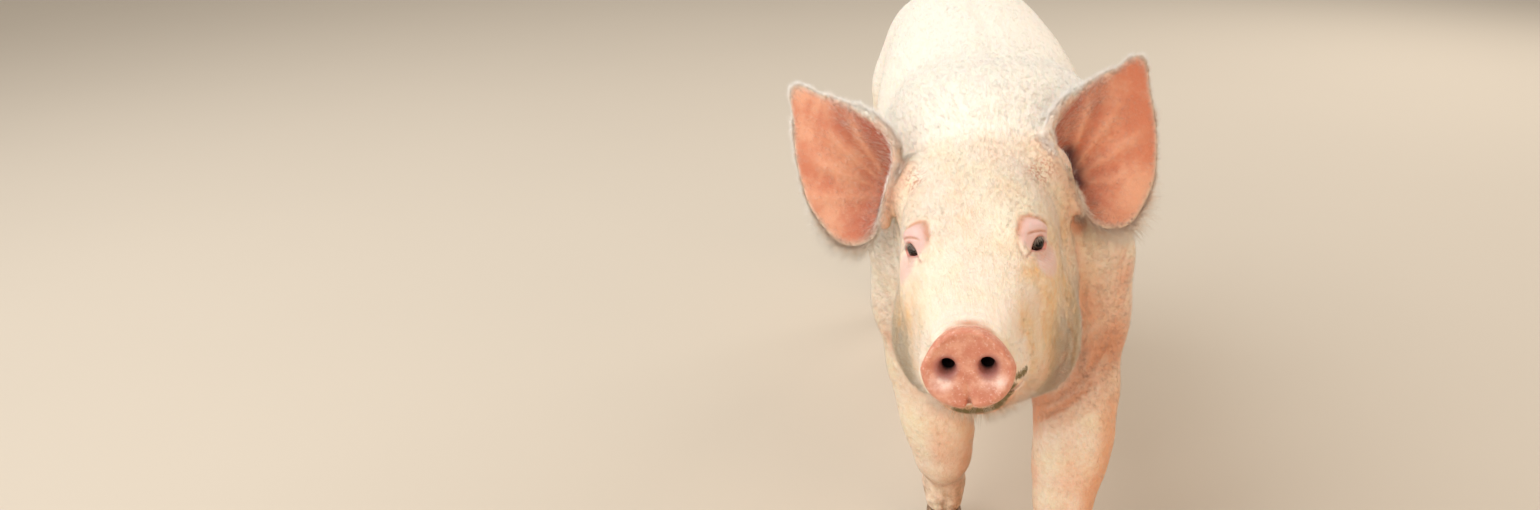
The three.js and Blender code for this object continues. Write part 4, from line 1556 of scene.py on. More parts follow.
@dataclass
class Net:
    """A triangle mesh: points in body millimetres, and triples of point numbers that turn outwards."""

    points: Array
    triangles: Array

    def edges(self) -> tuple[Array, Array]:
        """The edges, each as a pair of point numbers, and the numbers of each triangle's three edges."""
        t = self.triangles
        pairs = np.sort(np.stack([t[:, [0, 1]], t[:, [1, 2]], t[:, [2, 0]]], 1), axis=2)
        count = len(self.points)
        found, number = np.unique(pairs[..., 0] * count + pairs[..., 1], return_inverse=True)
        return np.stack([found // count, found % count], 1), number.reshape(-1, 3)

    def corners(self) -> Array:
        """Each triangle's three corners."""
        return self.points[self.triangles]

    def refined(self, grain: Callable[[Array], Array], slack: float = 1.4) -> "Net":
        """A finer net, whose edges are split where they are longer than the grain allows.

        Args:
            grain: How long edges may be at places.
            slack: How many times longer an edge may be.

        Returns:
            The finer net.
        """
        pairs, number = self.edges()
        a, b = self.points[pairs[:, 0]], self.points[pairs[:, 1]]
        middle = (a + b) / 2
        length = np.linalg.norm(a - b, axis=1)
        marked = length > slack * grain(middle)
        longest_slot = np.argmax(length[number], axis=1)
        longest = number[np.arange(len(number)), longest_slot]
        while True:
            need = marked[number].any(1) & ~marked[longest]
            if not need.any():
                break
            marked[longest[need]] = True
        if not marked.any():
            return self
        new = np.full(len(pairs), -1)
        new[marked] = len(self.points) + np.arange(int(marked.sum()))
        turn = (longest_slot[:, None] + np.arange(3)) % 3
        v = np.take_along_axis(self.triangles, turn, 1)
        m = new[np.take_along_axis(number, turn, 1)]
        v0, v1, v2 = v.T
        m0, m1, m2 = m.T
        has0, has1, has2 = m0 >= 0, m1 >= 0, m2 >= 0
        groups = [self.triangles[~has0]]

        def gather(keep: Array, *corners: Array) -> None:
            """Adds one triangle for each that is kept."""
            groups.append(np.stack([c[keep] for c in corners], 1))

        gather(has0 & ~has2, v0, m0, v2)
        gather(has0 & has2, v0, m0, m2)
        gather(has0 & has2, m2, m0, v2)
        gather(has0 & ~has1, m0, v1, v2)
        gather(has0 & has1, m0, v1, m1)
        gather(has0 & has1, m0, m1, v2)
        return Net(np.concatenate([self.points, middle[marked]]), np.concatenate(groups))

    def settled(self, distance: Field, rounds: int, share: float = 0.5, reach: float = 1.5) -> "Net":
        """A net whose points lie on a field's surface and are spread evenly along it.

        Args:
            distance: The field.
            rounds: How many times the points are spread and brought back.
            share: How far each point moves towards the middle of its neighbours.
            reach: How far one step may move a point, in millimetres.

        Returns:
            The new net.
        """
        points = self.points.copy()
        pairs, _ = self.edges()
        a, b = pairs.T
        count = len(points)
        weight = np.bincount(a, minlength=count) + np.bincount(b, minlength=count)
        for turn in range(rounds + 1):
            value, slope = gradient(distance, points)
            square = (slope * slope).sum(1) + 0.05
            points -= np.clip(value / square, -reach, reach)[:, None] * slope
            if turn == rounds:
                break
            normal = unit(slope)
            ends = ((a, b), (b, a))
            sums = [sum(np.bincount(i, points[j, c], count) for i, j in ends) for c in range(3)]
            move = np.stack(sums, 1) / weight[:, None] - points
            points += share * (move - (move * normal).sum(1, keepdims=True) * normal)
        return Net(points, self.triangles)

    def normals(self) -> Array:
        """Smooth outward directions at the points."""
        c = self.corners()
        face = np.cross(c[:, 1] - c[:, 0], c[:, 2] - c[:, 0])
        out = np.zeros_like(self.points)
        for corner in range(3):
            for axis in range(3):
                out[:, axis] += np.bincount(self.triangles[:, corner], face[:, axis], minlength=len(out))
        return unit(out)

    def kept(self, least: int = 2000) -> "Net":
        """The net without its small loose pieces.

        Args:
            least: How many points a kept piece has.

        Returns:
            The net that is left.
        """
        label = np.arange(len(self.points))
        t = self.triangles
        while True:
            low = label[t].min(1)
            new = label.copy()
            for corner in range(3):
                np.minimum.at(new, t[:, corner], low)
            new = new[new]
            if (new == label).all():
                break
            label = new
        found, count = np.unique(label, return_counts=True)
        good = np.isin(label, found[count >= least])
        number = np.cumsum(good) - 1
        return Net(self.points[good], number[t[good[t[:, 0]]]])


def shared(work: Callable[[Array], Array], p: Array, size: int = 12000) -> Array:
    """Works through points in parts on several threads, and puts the results together in order.

    Args:
        work: What is done to each part.
        p: The points.
        size: How many points a part may have.

    Returns:
        What the work gives for all the points.
    """
    if len(p) <= size:
        return work(p)
    with ThreadPoolExecutor(4) as pool:
        return np.concatenate(list(pool.map(work, np.array_split(p, math.ceil(len(p) / size)))))


def gradient(distance: Field, p: Array, eps: float = 0.2) -> tuple[Array, Array]:
    """A field's values at points, and its slopes there.

    Args:
        distance: The field.
        p: The points.
        eps: How far apart it looks, in millimetres.

    Returns:
        The values, and the slopes as rows of x, y and z.
    """

    def work(part: Array) -> Array:
        """The value and the slope of each point as four columns.

        Args:
            part: Some of the points.

        Returns:
            The four columns.
        """
        value = distance(part)
        columns = [value]
        for axis in range(3):
            q = part.copy()
            q[:, axis] += eps
            columns.append((distance(q) - value) / eps)
        return np.stack(columns, 1)

    found = shared(work, p)
    return found[:, 0], found[:, 1:]


def spans(*parts: Triple) -> Array:
    """An axis of grid lines from parts, each given as its start, end and spacing."""
    lines = [np.arange(start, end - gap / 2, gap) for start, end, gap in parts]
    return np.concatenate([*lines, [parts[-1][1]]])


def sample(distance: Field, axes: tuple[Array, Array, Array], every: int = 4) -> Array:
    """A field's values on a grid, worked out only near its surface and filled in elsewhere.

    Args:
        distance: The field.
        axes: The grid's lines along x, y and z.
        every: How many cells apart the first look is.

    Returns:
        The values, one for each grid point.
    """
    picks = [np.append(np.arange(0, len(a) - 1, every), len(a) - 1) for a in axes]
    looks = [a[i] for a, i in zip(axes, picks)]
    mesh = np.stack(np.meshgrid(*looks, indexing="ij"), -1)
    rough = shared(distance, mesh.reshape(-1, 3)).reshape(mesh.shape[:3])
    least = np.abs(rough)
    for axis in range(3):
        first = np.take(least, range(least.shape[axis] - 1), axis)
        second = np.take(least, range(1, least.shape[axis]), axis)
        least = np.minimum(first, second)
    gaps = np.meshgrid(*[np.diff(a) for a in looks], indexing="ij")
    near = least < 0.85 * np.sqrt(sum(g * g for g in gaps))
    values = rough[:-1, :-1, :-1]
    for axis, i in enumerate(picks):
        near = np.repeat(near, np.diff(i), axis)
        values = np.repeat(values, np.diff(i), axis)
    values = np.pad(values, ((0, 1),) * 3, mode="edge").copy()
    points = np.zeros(values.shape, bool)
    for dx in (0, 1):
        for dy in (0, 1):
            for dz in (0, 1):
                points[dx : dx + near.shape[0], dy : dy + near.shape[1], dz : dz + near.shape[2]] |= near
    where = np.argwhere(points)
    found = np.stack([axes[c][where[:, c]] for c in range(3)], 1)
    values[tuple(where.T)] = shared(distance, found)
    return values


def surface_net(distance: Field, axes: tuple[Array, Array, Array]) -> Net:
    """The surface where a field is zero, as one point in each grid cell that it crosses.

    Args:
        distance: The field.
        axes: The grid's lines along x, y and z.

    Returns:
        The closed net.
    """
    values = sample(distance, axes)
    inside = values < 0
    shape = np.array(values.shape) - 1
    corner = [(i, j, k) for i in (0, 1) for j in (0, 1) for k in (0, 1)]

    def at(grid: Array, offset: tuple[int, int, int]) -> Array:
        """The grid's values at one corner of every cell."""
        i, j, k = offset
        return grid[i : i + shape[0], j : j + shape[1], k : k + shape[2]]

    filled = sum(at(inside, c).astype(np.int8) for c in corner)
    cells = np.argwhere((filled > 0) & (filled < 8))
    number = np.full(shape, -1)
    number[tuple(cells.T)] = np.arange(len(cells))
    total, count = np.zeros((len(cells), 3)), np.zeros(len(cells))
    for a in corner:
        for axis in range(3):
            if a[axis]:
                continue
            b = tuple(a[c] + (c == axis) for c in range(3))
            ia, ib = cells + a, cells + b
            va, vb = values[tuple(ia.T)], values[tuple(ib.T)]
            cross = (va < 0) != (vb < 0)
            t = np.where(cross, va / np.where(cross, va - vb, 1), 0)
            pa = np.stack([axes[c][ia[:, c]] for c in range(3)], 1)
            pb = np.stack([axes[c][ib[:, c]] for c in range(3)], 1)
            total += np.where(cross[:, None], pa + (pb - pa) * t[:, None], 0)
            count += cross
    points = total / count[:, None]
    quads = []
    for axis in range(3):
        u, v = (axis + 1) % 3, (axis + 2) % 3
        first = np.take(inside, range(shape[axis]), axis)
        second = np.take(inside, range(1, shape[axis] + 1), axis)
        for flip in (False, True):
            edge = np.argwhere((first & ~second) if not flip else (~first & second))
            keep = (edge[:, u] > 0) & (edge[:, v] > 0) & (edge[:, u] < shape[u]) & (edge[:, v] < shape[v])
            edge = edge[keep]
            ring = []
            for du, dv in ((1, 1), (0, 1), (0, 0), (1, 0)):
                cell = edge.copy()
                cell[:, u] -= du
                cell[:, v] -= dv
                ring.append(number[tuple(cell.T)])
            quads.append(np.stack(ring[::-1] if flip else ring, 1))
    q = np.concatenate(quads)
    across = np.linalg.norm(points[q[:, 0]] - points[q[:, 2]], axis=1)
    other = np.linalg.norm(points[q[:, 1]] - points[q[:, 3]], axis=1)
    q = np.where((across <= other)[:, None], q, np.roll(q, -1, 1))
    return Net(points, np.concatenate([q[:, [0, 1, 2]], q[:, [0, 2, 3]]]))


# ---------------------------------------------------------------- nodes


def operator(operation: str, swapped: bool = False) -> Callable[["Wire", "Wire | float"], "Wire"]:
    """One of Python's operators as a Math node, or as one whose inputs are swapped.

    Args:
        operation: The node's operation.
        swapped: Whether its inputs change places.

    Returns:
        What Python calls for the operator.
    """

    def apply(first: "Wire", second: "Wire | float") -> "Wire":
        """Adds the node."""
        pair = (second, first) if swapped else (first, second)
        return first.web.node("ShaderNodeMath", {"operation": operation}, dict(enumerate(pair)))

    return apply


class Wire:
    """A node's output, on which Python's arithmetic adds Math nodes."""

    __add__ = __radd__ = operator("ADD")
    __sub__ = operator("SUBTRACT")
    __rsub__ = operator("SUBTRACT", True)
    __mul__ = __rmul__ = operator("MULTIPLY")
    __truediv__ = operator("DIVIDE")

    def __init__(self, web: "Web", socket: bpy.types.NodeSocket) -> None:
        """Keeps the output and the tree that it is in."""
        self.web = web
        self.socket = socket

    def other(self, name: str) -> "Wire":
        """Another output of the same node."""
        return Wire(self.web, self.socket.node.outputs[name])


Value = Wire | float | int | bool | str | Sequence[float] | bpy.types.ID


class Web:
    """A node tree and the ways to add to it."""

    def __init__(self, tree: bpy.types.NodeTree) -> None:
        """Keeps the tree."""
        self.tree = tree

    def node(
        self, kind: str, settings: dict | None = None, values: dict | None = None, out: int | str = 0
    ) -> Wire:
        """Adds a node.

        Args:
            kind: The node's type.
            settings: Its own properties, which are set first; stops are a ramp's places and colours.
            values: The constants or wires of its inputs, by name or number.
            out: The output that is wanted.

        Returns:
            That output.
        """
        made = self.tree.nodes.new(kind)
        for name, setting in (settings or {}).items():
            if name == "stops":
                ramp = made.color_ramp
                while len(ramp.elements) < len(setting):
                    ramp.elements.new(0.5)
                for stop, (place, colour) in zip(ramp.elements, setting):
                    stop.position = place
                    stop.color = (*colour, 1.0)
            else:
                setattr(made, name, setting)
        for key, value in (values or {}).items():
            if isinstance(value, Wire):
                self.tree.links.new(value.socket, made.inputs[key])
            else:
                made.inputs[key].default_value = value
        return Wire(self, made.outputs[out]) if len(made.outputs) else None

    def mask(self, name: str) -> Wire:
        """A value that the mesh keeps for each point."""
        return self.node("ShaderNodeAttribute", {"attribute_name": name}, out="Fac")

    def mix(self, share: Value, first: Value, second: Value, way: str = "MIX") -> Wire:
        """A colour mixed from two.

        Args:
            share: How much of the upper colour shows.
            first: The lower colour.
            second: The upper colour.
            way: How they mix.

        Returns:
            The mixed colour.
        """
        first, second = (c if isinstance(c, Wire) else (*c, 1.0) for c in (first, second))
        settings = {"data_type": "RGBA", "blend_type": way, "clamp_factor": True}
        return self.node("ShaderNodeMix", settings, {0: share, 6: first, 7: second}, 2)

    def noise(self, place: Value, size: float, detail: float = 2.0, rough: float = 0.5) -> Wire:
        """Noise from 0 to 1, whose waves are about size long, in metres."""
        values = {"Vector": place, "Scale": 1 / size, "Detail": detail, "Roughness": rough}
        return self.node("ShaderNodeTexNoise", {}, values)

    def ramp(self, value: Wire, low: float, high: float) -> Wire:
        """A value brought from low..high to 0..1 with soft ends."""
        values = {"Value": value, "From Min": low, "From Max": high}
        return self.node("ShaderNodeMapRange", {"interpolation_type": "SMOOTHSTEP"}, values)

    def stretch(self, place: Wire, by: Triple) -> Wire:
        """Places scaled by a Mapping node."""
        return self.node("ShaderNodeMapping", {}, {"Vector": place, "Scale": by})

    def vector(self, operation: str, first: Value, second: Value) -> Wire:
        """A Vector Math node's result, whose second value is a number when it scales."""
        values = {0: first, "Scale" if operation == "SCALE" else 1: second}
        return self.node("ShaderNodeVectorMath", {"operation": operation}, values)

    def part(self, axis: str) -> Wire:
        """One axis of a geometry's positions."""
        return self.node("ShaderNodeSeparateXYZ", {}, {0: self.node("GeometryNodeInputPosition")}, axis)

    def clumps(self, place: Wire) -> Wire:
        """The clumps that short hair draws together in, which the skin and the coat share."""
        return self.ramp(self.noise(self.stretch(place, (1, 0.16, 1)), 0.005, 3, 0.65), 0.40, 0.66)

    def paint(self, colour: Wire, *layers: tuple[Value, Value]) -> Wire:
        """A colour under layers, each given as its share and its colour.

        Args:
            colour: The lowest colour.
            layers: The layers, from the lowest up.

        Returns:
            The finished colour.
        """
        for share, layer in layers:
            colour = self.mix(share, colour, layer)
        return colour


def dress_material(name: str) -> tuple[Material, Web, Wire]:
    """Makes an empty material.

    Args:
        name: Its name.

    Returns:
        The material, its tree, and the places of its points in metres.
    """
    material = bpy.data.materials.new(name)
    material.use_nodes = True
    material.node_tree.nodes.clear()
    web = Web(material.node_tree)
    return material, web, web.node("ShaderNodeTexCoord", out="Object")


def close_material(web: Web, values: dict) -> None:
    """Ends a material in one Principled shader with these inputs."""
    shader = web.node("ShaderNodeBsdfPrincipled", {}, values)
    web.node("ShaderNodeOutputMaterial", {}, {"Surface": shader})


# ---------------------------------------------------------------- finishes


@dataclass(frozen=True)
class HideFinish:
    """Bare and short-haired skin with all its markings, and painted light and shade."""

    # the white of the hair, also laid on as painted light where the skin faces up or towards the lamps
    chalk: Colour = (0.90, 0.88, 0.82)
    pale: Colour = (0.86, 0.72, 0.60)
    cream: Colour = (0.86, 0.76, 0.58)
    # the flush of the skin, also laid on as painted shade where little light reaches it
    pink: Colour = (0.80, 0.43, 0.28)
    disc: Colour = (0.60, 0.225, 0.145)
    disc_pale: Colour = (0.73, 0.37, 0.26)
    # a painted highlight on the wet disc
    moist: Colour = (0.94, 0.72, 0.66)
    lid: Colour = (0.71, 0.47, 0.46)
    lid_edge: Colour = (0.48, 0.18, 0.14)
    corner: Colour = (0.74, 0.33, 0.30)
    # painted shade in creases and folds
    crease: Colour = (0.56, 0.24, 0.13)
    ear: Colour = (0.63, 0.215, 0.12)
    ear_pale: Colour = (0.78, 0.40, 0.26)
    # painted shade in the ears' hollows
    ear_deep: Colour = (0.36, 0.075, 0.04)
    ear_rim: Colour = (0.92, 0.72, 0.58)
    # painted shade in the ear openings and under the rolled edges
    canal: Colour = (0.11, 0.03, 0.03)
    rust: Colour = (0.52, 0.20, 0.10)
    # dirt, also laid on as painted warm shade
    grime: Colour = (0.84, 0.52, 0.22)
    mud: Colour = (0.17, 0.125, 0.045)
    soil: Colour = (0.34, 0.20, 0.10)
    # painted shade inside the nostrils
    hole: Colour = (0.018, 0.006, 0.006)
    hole_rim: Colour = (0.34, 0.12, 0.11)
    deep: Colour = (1.0, 0.42, 0.28)
    grain: Colour = (0.98, 0.88, 0.80)
    # painted shade between clumps of hair
    between: Colour = (0.96, 0.86, 0.77)

    def material(self) -> Material:
        """Makes the material."""
        material, web, place = dress_material("hide")
        broad = web.noise(place, 0.045, 3)
        spots = web.noise(place, 0.010, 4, 0.65)
        grain = web.noise(place, 0.0018, 2, 0.6)
        bare = web.mask("disc")
        ear = web.mask("ear_in")
        mask = web.mask
        speckle = web.ramp(web.noise(place, 0.0028, 2, 0.5), 0.47, 0.62)
        crumbs = web.noise(place, 0.0035, 4, 0.7)
        mud = web.ramp(mask("mud") * 0.9 + (crumbs - 0.5) * 1.3, 0.30, 0.85)
        colour = web.paint(
            web.mix(web.ramp(broad, 0.35, 0.7), self.pale, self.cream),
            # the flush of the skin, with painted shade and painted light mixed in
            (web.ramp(mask("blush") + (spots - 0.5) * 0.35, 0.15, 1.0), self.pink),
            # painted light: whiter where the skin faces up or towards the lamps, over the white of the hair
            (mask("chalk") * 0.8, self.chalk),
            # dirt, with painted warm shade on the shaded side of the face and on the legs
            (mask("grime") * (0.45 + web.ramp(spots, 0.3, 0.75) * 0.75) * 0.75, self.grime),
            (mask("rust") * speckle, self.rust),
            (ear, self._ear(web, broad, spots)),
            (mask("lid") * 0.85, self.lid),
            # painted shade in the creases
            (mask("crease") * (0.65 + 0.35 * spots), self.crease),
            (mask("lid_edge") * 0.75, self.lid_edge),
            (mask("corner"), self.corner),
            (bare, self._disc(web, place, spots)),
            (mask("soil") * web.ramp(spots, 0.35, 0.7) * 0.8, self.soil),
            (mask("lips") * 0.75, self.lid_edge),
            (mud, self.mud),
            # painted shade inside the nostrils
            (mask("hole"), self.hole),
        )
        colour = web.mix(0.35 * web.ramp(grain, 0.35, 0.75), colour, self.grain, "MULTIPLY")
        wet = bare * (0.35 + 0.25 * web.ramp(spots, 0.4, 0.65)) + mask("moist") * 0.5
        rough = 0.56 + (spots - 0.5) * 0.2 - wet * 0.3 + mud * 0.2 + mask("hole") * 0.4
        furred = (1 - bare) * (1 - 0.7 * ear) * (1 - 0.8 * mask("lid"))
        clumps = web.clumps(place)
        # painted shade between the clumps of hair, lighter where the hair is whitened
        shaded = clumps * furred * (1 - 0.8 * mask("chalk")) * 0.55
        colour = web.mix(shaded, colour, self.between, "MULTIPLY")
        height = (self._hairs(web, place) - 0.5) * furred * 0.9 - clumps * furred * 0.9
        height = height + (grain - 0.5) * 0.5 + (spots - 0.5) * 0.8 + self._pores(web, place) * bare * 0.5
        normal = web.node("ShaderNodeBump", {}, {"Height": height, "Strength": 0.5, "Distance": 0.0007})
        values = {
            "Base Color": colour,
            "Roughness": rough,
            "Normal": normal,
            "Subsurface Weight": 0.3,
            "Subsurface Radius": self.deep,
            "Subsurface Scale": 0.003,
            "Specular IOR Level": 0.4,
        }
        close_material(web, values)
        return material

    def _ear(self, web: Web, broad: Wire, spots: Wire) -> Wire:
        """The inside of the ears: salmon, with painted shade that makes it darker and redder by the rolled
        edge and near black in the ear openings, painted highlights that make the ridges paler, and a paler
        rim.

        Args:
            web: The node tree.
            broad: Broad noise.
            spots: Fine noise.

        Returns:
            Its colour.
        """
        return web.paint(
            web.mix(web.ramp(broad * 0.7 + spots * 0.3, 0.40, 0.62), self.ear, self.ear_pale),
            # painted shade in the hollow by the rolled edge
            (web.mask("ear_deep") * 0.8, self.ear_deep),
            # painted highlight on the ridges
            (web.mask("ear_ridge") * 0.75, self.ear_pale),
            (web.mask("ear_edge") * 0.8, self.ear_rim),
            # painted shade in the ear openings
            (web.mask("canal"), self.canal),
        )

    def _disc(self, web: Web, place: Value, spots: Wire) -> Wire:
        """The snout disc: salmon with painted highlights, pale patches under the nostrils where it is wet and
        small pale glints over it, and nostrils whose edges are dusky.

        Args:
            web: The node tree.
            place: The places of its points.
            spots: Fine noise.

        Returns:
            Its colour.
        """
        return web.paint(
            web.mix(web.ramp(spots, 0.35, 0.7), self.disc, self.disc_pale),
            # painted highlights: pale patches under the nostrils, and small pale glints over the disc
            (web.mask("moist") * (0.35 + 0.65 * web.ramp(spots, 0.35, 0.6)), self.moist),
            (web.ramp(web.noise(place, 0.002, 2, 0.6), 0.57, 0.70) * 0.35, self.moist),
            (web.mask("hole_rim") * 0.85, self.hole_rim),
        )

    def _hairs(self, web: Web, place: Wire) -> Wire:
        """Fine streaks along the body, and down the legs.

        Args:
            web: The node tree.
            place: The places of its points.

        Returns:
            Values from 0 to 1.
        """
        ways = ((1, 0.09, 1), (1, 1, 0.09))
        flat, tall = (web.noise(web.stretch(place, way), 0.0013, 2, 0.6) for way in ways)
        return blend(flat, tall, web.mask("upright"))

    def _pores(self, web: Web, place: Wire) -> Wire:
        """The small cells of the snout disc.

        Args:
            web: The node tree.
            place: The places of its points.

        Returns:
            Values from 0 to 1.
        """
        values = {"Vector": place, "Scale": 900.0}
        cells = web.node("ShaderNodeTexVoronoi", {"feature": "DISTANCE_TO_EDGE"}, values, "Distance")
        return web.ramp(cells, 0.0, 0.28)


@dataclass(frozen=True)
class CoatFinish:
    """Fine bristles, white over most of the body and stained where the skin is dirty, with painted shade in
    creases, hollows and shaded places and painted light where the skin faces the lamps.
    """

    # the white of the hair, also laid on as painted light where the skin faces up or towards the lamps
    chalk: Colour = (0.96, 0.94, 0.89)
    root: Colour = (0.88, 0.75, 0.60)
    tip: Colour = (0.97, 0.93, 0.84)
    shade: Colour = (0.88, 0.72, 0.52)
    # the flush of the skin, also laid on as painted shade
    blush: Colour = (0.88, 0.60, 0.44)
    # dirt, also laid on as painted warm shade
    grime: Colour = (0.80, 0.58, 0.28)
    rust: Colour = (0.55, 0.27, 0.14)
    mud: Colour = (0.21, 0.16, 0.06)
    soil: Colour = (0.40, 0.27, 0.15)
    ear: Colour = (0.85, 0.52, 0.37)
    # painted shade in the ear openings
    canal: Colour = (0.17, 0.07, 0.055)
    # painted shade in creases and folds
    crease: Colour = (0.60, 0.28, 0.16)
    # painted shade between clumps of hair
    between: Colour = (0.94, 0.84, 0.74)

    def material(self) -> Material:
        """Makes the material."""
        material, web, place = dress_material("coat")
        mask = web.mask
        grow, tone = mask("grow"), mask("tone")
        colour = web.paint(
            web.mix(grow, self.root, self.tip),
            (web.ramp(tone, 0.5, 1.0) * 0.5, self.shade),
            # the flush of the skin, with painted shade and painted light mixed in
            (mask("blush") * (0.75 - 0.45 * grow), self.blush),
            # painted light: whiter where the skin faces up or towards the lamps, over the white of the hair
            (mask("chalk") * 0.7, self.chalk),
        )
        # painted shade between the clumps of hair, lighter where the hair is whitened
        shaded = web.clumps(place) * (1 - 0.8 * mask("chalk")) * 0.6
        colour = web.paint(
            web.mix(shaded, colour, self.between, "MULTIPLY"),
            # dirt, with painted warm shade
            (mask("grime") * (0.45 + 0.4 * tone), self.grime),
            (mask("rust") * (0.4 + 0.5 * tone), self.rust),
            # painted shade in the creases
            (mask("crease") * (0.7 - 0.2 * grow), self.crease),
            (mask("ear_in") * (0.75 - 0.3 * grow), self.ear),
            # painted shade in the ear openings
            (mask("canal") * 0.9, self.canal),
            (mask("soil") * (0.3 + 0.5 * tone), self.soil),
            (web.ramp(mask("mud") * (0.7 + 0.4 * tone), 0.35, 0.9), self.mud),
        )
        values = {
            "Base Color": colour,
            "Roughness": 0.5 + 0.2 * tone,
            "Specular IOR Level": 0.2,
            "Subsurface Weight": 0.7,
            "Subsurface Radius": (1.0, 0.85, 0.7),
            "Subsurface Scale": 0.0015,
        }
        close_material(web, values)
        return material


@dataclass(frozen=True)
class EyeFinish:
    """A dark wet eye."""

    pupil: Colour = (0.004, 0.003, 0.003)
    iris: Colour = (0.018, 0.010, 0.007)
    fibre: Colour = (0.04, 0.02, 0.012)
    white: Colour = (0.50, 0.34, 0.29)
    rim: Colour = (0.012, 0.008, 0.007)
    vein: Colour = (0.45, 0.12, 0.09)

    def material(self) -> Material:
        """Makes the material."""
        material, web, place = dress_material("eye")
        angle = web.mask("gaze_angle")
        fibres = web.noise(place, 0.0012, 3, 0.6)
        iris = web.mix(web.ramp(fibres, 0.3, 0.7), self.iris, self.fibre)
        white = web.mix(web.ramp(fibres, 0.55, 0.75) * 0.4, self.white, self.vein)
        colour = web.paint(
            web.mix(web.ramp(angle, 0.34, 0.42), self.pupil, iris),
            (web.ramp(angle, 0.60, 0.70), self.rim),
            (web.ramp(angle + (fibres - 0.5) * 0.06, 0.78, 0.90), white),
        )
        values = {
            "Base Color": colour,
            "Roughness": 0.12 + 0.1 * web.ramp(angle, 0.7, 0.9),
            "Coat Weight": 0.2,
            "Coat Roughness": 0.02,
            "Coat IOR": 1.33,
            "Specular IOR Level": 0.1,
        }
        close_material(web, values)
        return material


@dataclass(frozen=True)
class HornFinish:
    """Pale hoof horn with growth rings and soil."""

    pale: Colour = (0.46, 0.31, 0.19)
    dark: Colour = (0.17, 0.10, 0.06)
    soil: Colour = (0.10, 0.07, 0.04)

    def material(self) -> Material:
        """Makes the material."""
        material, web, place = dress_material("horn")
        streaks = web.noise(web.stretch(place, (1, 1, 0.12)), 0.003, 4, 0.6)
        rings = web.noise(web.stretch(place, (0.1, 0.1, 1)), 0.004, 3, 0.6)
        spots = web.noise(place, 0.008, 4, 0.6)
        colour = web.mix(web.ramp(streaks, 0.35, 0.7), self.dark, self.pale)
        colour = web.mix(web.ramp(spots, 0.48, 0.68) * 0.85, colour, self.soil)
        height = rings * 0.7 + streaks * 0.3 + spots * 0.3
        normal = web.node("ShaderNodeBump", {}, {"Height": height, "Strength": 0.6, "Distance": 0.0012})
        values = {"Base Color": colour, "Roughness": 0.38 + spots * 0.35, "Normal": normal}
        close_material(web, {**values, "Specular IOR Level": 0.5})
        return material


@dataclass(frozen=True)
class FloorFinish:
    """A plain pale studio floor."""

    colour: Colour = (0.60, 0.54, 0.46)

    def material(self) -> Material:
        """Makes the material."""
        material, web, place = dress_material("studio_floor")
        cloud = web.noise(place, 0.6, 2)
        colour = web.mix(cloud, self.colour, tuple(c * 0.97 for c in self.colour))
        close_material(web, {"Base Color": colour, "Roughness": 0.85})
        return material


# ---------------------------------------------------------------- pieces


class Slot(Enum):
    """The record's material slots, whose names the pieces log."""

    HIDE = "hide"
    HORN = "horn"
    EYE = "eye"


@dataclass
class Bench:
    """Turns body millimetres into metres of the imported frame, and makes objects there."""

    shift: Array

    def place(self, p: Array) -> Array:
        """Body millimetres as metres of the frame."""
        return (p + self.shift) * MM

    def mesh(self, name: str, net: Net, masks: dict[str, Array] | None = None) -> Object:
        """Makes a smooth mesh object.

        Args:
            name: The object's name.
            net: Its shape.
            masks: Values for each point, by name.

        Returns:
            The object, linked into the scene.
        """
        data = bpy.data.meshes.new(name)
        count, faces = len(net.points), len(net.triangles)
        data.vertices.add(count)
        data.vertices.foreach_set("co", self.place(net.points).astype(np.float32).ravel())
        if faces:
            data.loops.add(faces * 3)
            data.loops.foreach_set("vertex_index", net.triangles.astype(np.int32).ravel())
            data.polygons.add(faces)
            data.polygons.foreach_set("loop_start", np.arange(0, faces * 3, 3, dtype=np.int32))
            data.polygons.foreach_set("use_smooth", np.ones(faces, bool))
        for key, value in (masks or {}).items():
            flat = value.ndim == 1
            layer = data.attributes.new(key, "FLOAT" if flat else "FLOAT_VECTOR", "POINT")
            layer.data.foreach_set("value" if flat else "vector", value.astype(np.float32).ravel())
        data.update(calc_edges=True)
        data.validate()
        made = bpy.data.objects.new(name, data)
        bpy.context.scene.collection.objects.link(made)
        return made


def finish_piece(piece: Object, slot: Slot, nodes: Sequence[str], material: Material) -> None:
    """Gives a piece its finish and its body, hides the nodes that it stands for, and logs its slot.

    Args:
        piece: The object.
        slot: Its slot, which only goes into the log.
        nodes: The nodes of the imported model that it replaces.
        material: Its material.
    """
    piece.data.materials.clear()
    piece.data.materials.append(material)
    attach(piece, "root")
    if nodes:
        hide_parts(*nodes)
    faces = len(piece.data.polygons)
    LOG.info("%s: %d faces, slot %s, for %d nodes", piece.name, faces, slot.value, len(nodes))


